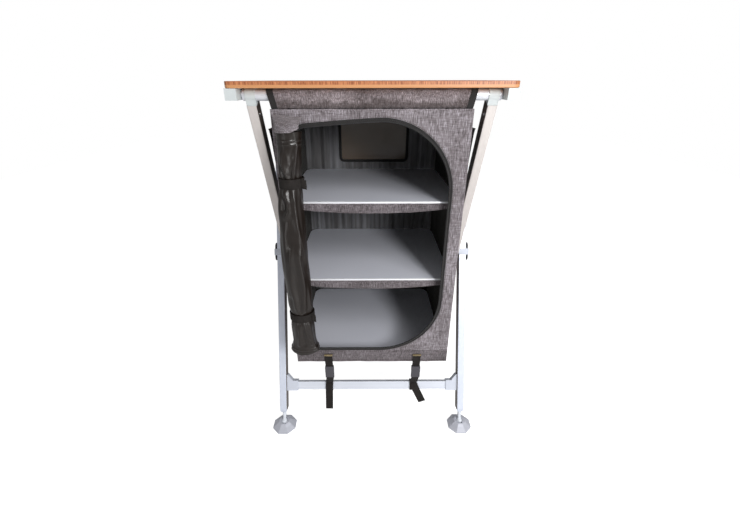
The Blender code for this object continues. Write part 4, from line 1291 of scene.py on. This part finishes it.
def make_strap(label, drift, slant, tail_end):
    low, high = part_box("strap_upper_" + label)
    x, y = (low[0] + high[0]) / 2, (low[1] + high[1]) / 2
    socket_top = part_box("buckle_socket_" + label)[1][2]
    plug_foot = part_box("buckle_plug_" + label)[0][2]
    front = PANEL_Y - 0.0052
    path = [(x, front, high[2]), (x, front - 0.0002, 0.272), (x, front, 0.258),
            (x, y - 0.0012, 0.248), (x, y, socket_top - 0.003)]
    upper = ribbon("strap_upper_%s_band" % label, path, WEBBING_WIDTH)
    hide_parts("strap_upper_" + label)
    tack = [(x + 0.0108 * share, front - 0.0008 - 0.0006 * (1 - share ** 2), high[2] - 0.0024)
            for share in span(-1, 1, 9)]
    beads("strap_edge_" + label, tack, spacing=0.0013, length=0.0018, width=0.0066,
          finish=khaki_thread)
    edge = [(x + 0.0108 * share, front - 0.0008, high[2] - 0.0016) for share in span(-1, 1, 5)]
    stitches("strap_seam_" + label, edge, thread=khaki_thread, spacing=0.0030)

    centre = Vector((x + drift, bar_middle.y, bar_middle.z))

    def on_bar(out, height):
        return centre + Matrix.Rotation(-LEAN, 3, "X") @ Vector((0, out, height))

    corner = on_bar(-BAR_HALF_Y, BAR_HALF_Z - 0.006)
    path = [(x, y, plug_foot + 0.0015), (x, y + 0.0010, plug_foot - 0.004),
            Vector((x, y, plug_foot)).lerp(corner, 0.5), corner]
    ribbon("strap_strand_" + label, path, WEBBING_WIDTH, "plug_" + label)
    loop = []
    for out, height, start in ((1, -1, -90), (1, 1, 0), (-1, 1, 90), (-1, -1, 180)):
        loop += [on_bar(*spot) for spot in arc(
            out * (BAR_HALF_Y - BAR_CORNER), height * (BAR_HALF_Z - BAR_CORNER), BAR_CORNER,
            start, 90, 4)]
    weave("strap_loop_" + label, loop, span(-0.5, 0.5, 5),
          lambda spot, share: spot + Vector((WEBBING_WIDTH * share, 0, 0)),
          0.0012, webbing, "frame_b", node="strap_lower_" + label, closed=True)
    start = on_bar(-BAR_HALF_Y - 0.0011, BAR_HALF_Z - 0.007)
    foot = on_bar(-BAR_HALF_Y - 0.0011, -BAR_HALF_Z + 0.004)
    path = []
    for share in span(0, 1, 12):
        z = start.z + (tail_end - start.z) * share
        down = min(1.0, (start.z - z) / (start.z - foot.z))
        sway = 0.0008 * math.sin(6 * share) * share
        path.append((x + drift + slant * share, start.y + (foot.y - start.y) * down + sway, z))
    ribbon("strap_tail_" + label, path, TAIL_WIDTH, "frame_b")


make_strap("left", -0.0085, -0.0040, 0.0370)
make_strap("right", 0.0015, 0.030, 0.0670)

# %% [markdown]
# Small fasteners finish the frame: a screw on each leg's inner side, just under its
# plastic T, and rivets down the outer side of each lower leg.

# %% Screws and rivets
LEG_HALF = 0.0108
HEAD_WIDTH = 0.0080
RIVET_DROPS = (0.10, 0.118, 0.392, 0.432)  # down the leg from the pivot
SCREW_RISE = 0.436
# body, lean, the leg's place along X, its letter
LEGS = (("frame_a", LEAN, 0.24975, "a"), ("frame_b", -LEAN, 0.27175, "b"))


def leg_spot(lean, x, along, out):
    """A point on a leg: along is measured up from the pivot, out square to the leg."""
    turned = Matrix.Rotation(lean, 4, "X") @ Vector((x, out, along))
    return turned + Vector((0, UNIT_SHIFT_Y, PIVOT_Z))


for body, lean, leg_x, leg in LEGS:
    for side, label in SIDES:
        rivets = [leg_spot(lean, side * (leg_x + LEG_HALF), -drop, 0.0) for drop in RIVET_DROPS]
        domes("side_rivets_%s_%s" % (leg, label), rivets, (side, 0, 0), HEAD_WIDTH,
              0.0018, bright_steel, body)
        screws = [leg_spot(lean, side * (leg_x - LEG_HALF), SCREW_RISE, -0.004)]
        domes("leg_screws_%s_%s" % (leg, label), screws, (-side, 0, 0), HEAD_WIDTH,
              0.0022, bright_steel, body)

# %% [markdown]
# A long black cover hides the pivot on the outer leg, with a pale collar across it.

# %% Pivot covers
OUTER_LEG = Matrix.Translation((0, UNIT_SHIFT_Y, PIVOT_Z)) @ Matrix.Rotation(-LEAN, 4, "X")
COVER = arc(0, 0.014, 0.0125, 0, 180, 12) + arc(0, -0.014, 0.0125, 180, 180, 12)
COLLAR = ((-0.0168, -0.0100), (0.0, -0.0100), (0.0, 0.0085), (-0.0168, 0.0085))


def prism(name, outline, ends, finish):
    """Extrude an outline of (y, z) points along X on the outer leg, with soft edges."""
    mesh = bpy.data.meshes.new(name)
    shape = bmesh.new()
    lower, upper = [[shape.verts.new(OUTER_LEG @ Vector((x, y, z))) for y, z in outline]
                    for x in sorted(ends)]
    shape.faces.new(lower)
    shape.faces.new(upper[::-1])
    for step in range(len(outline)):
        after = (step + 1) % len(outline)
        shape.faces.new((lower[step], upper[step], upper[after], lower[after]))
    bmesh.ops.recalc_face_normals(shape, faces=shape.faces)
    shape.to_mesh(mesh)
    shape.free()
    mesh.materials.append(finish)
    piece = keep_piece(name, mesh, "frame_b", finish)
    soft = piece.modifiers.new("Soft", "BEVEL")
    soft.width, soft.segments, soft.limit_method = 0.0009, 2, "ANGLE"
    bake(piece)
    smooth(piece, 40)


for side, label in SIDES:
    prism("pivot_cover_" + label, COVER, (side * 0.2828, side * 0.2886), black_plastic)
    prism("pivot_collar_" + label, COLLAR, (side * 0.2606, side * 0.2896), bracket_plastic)
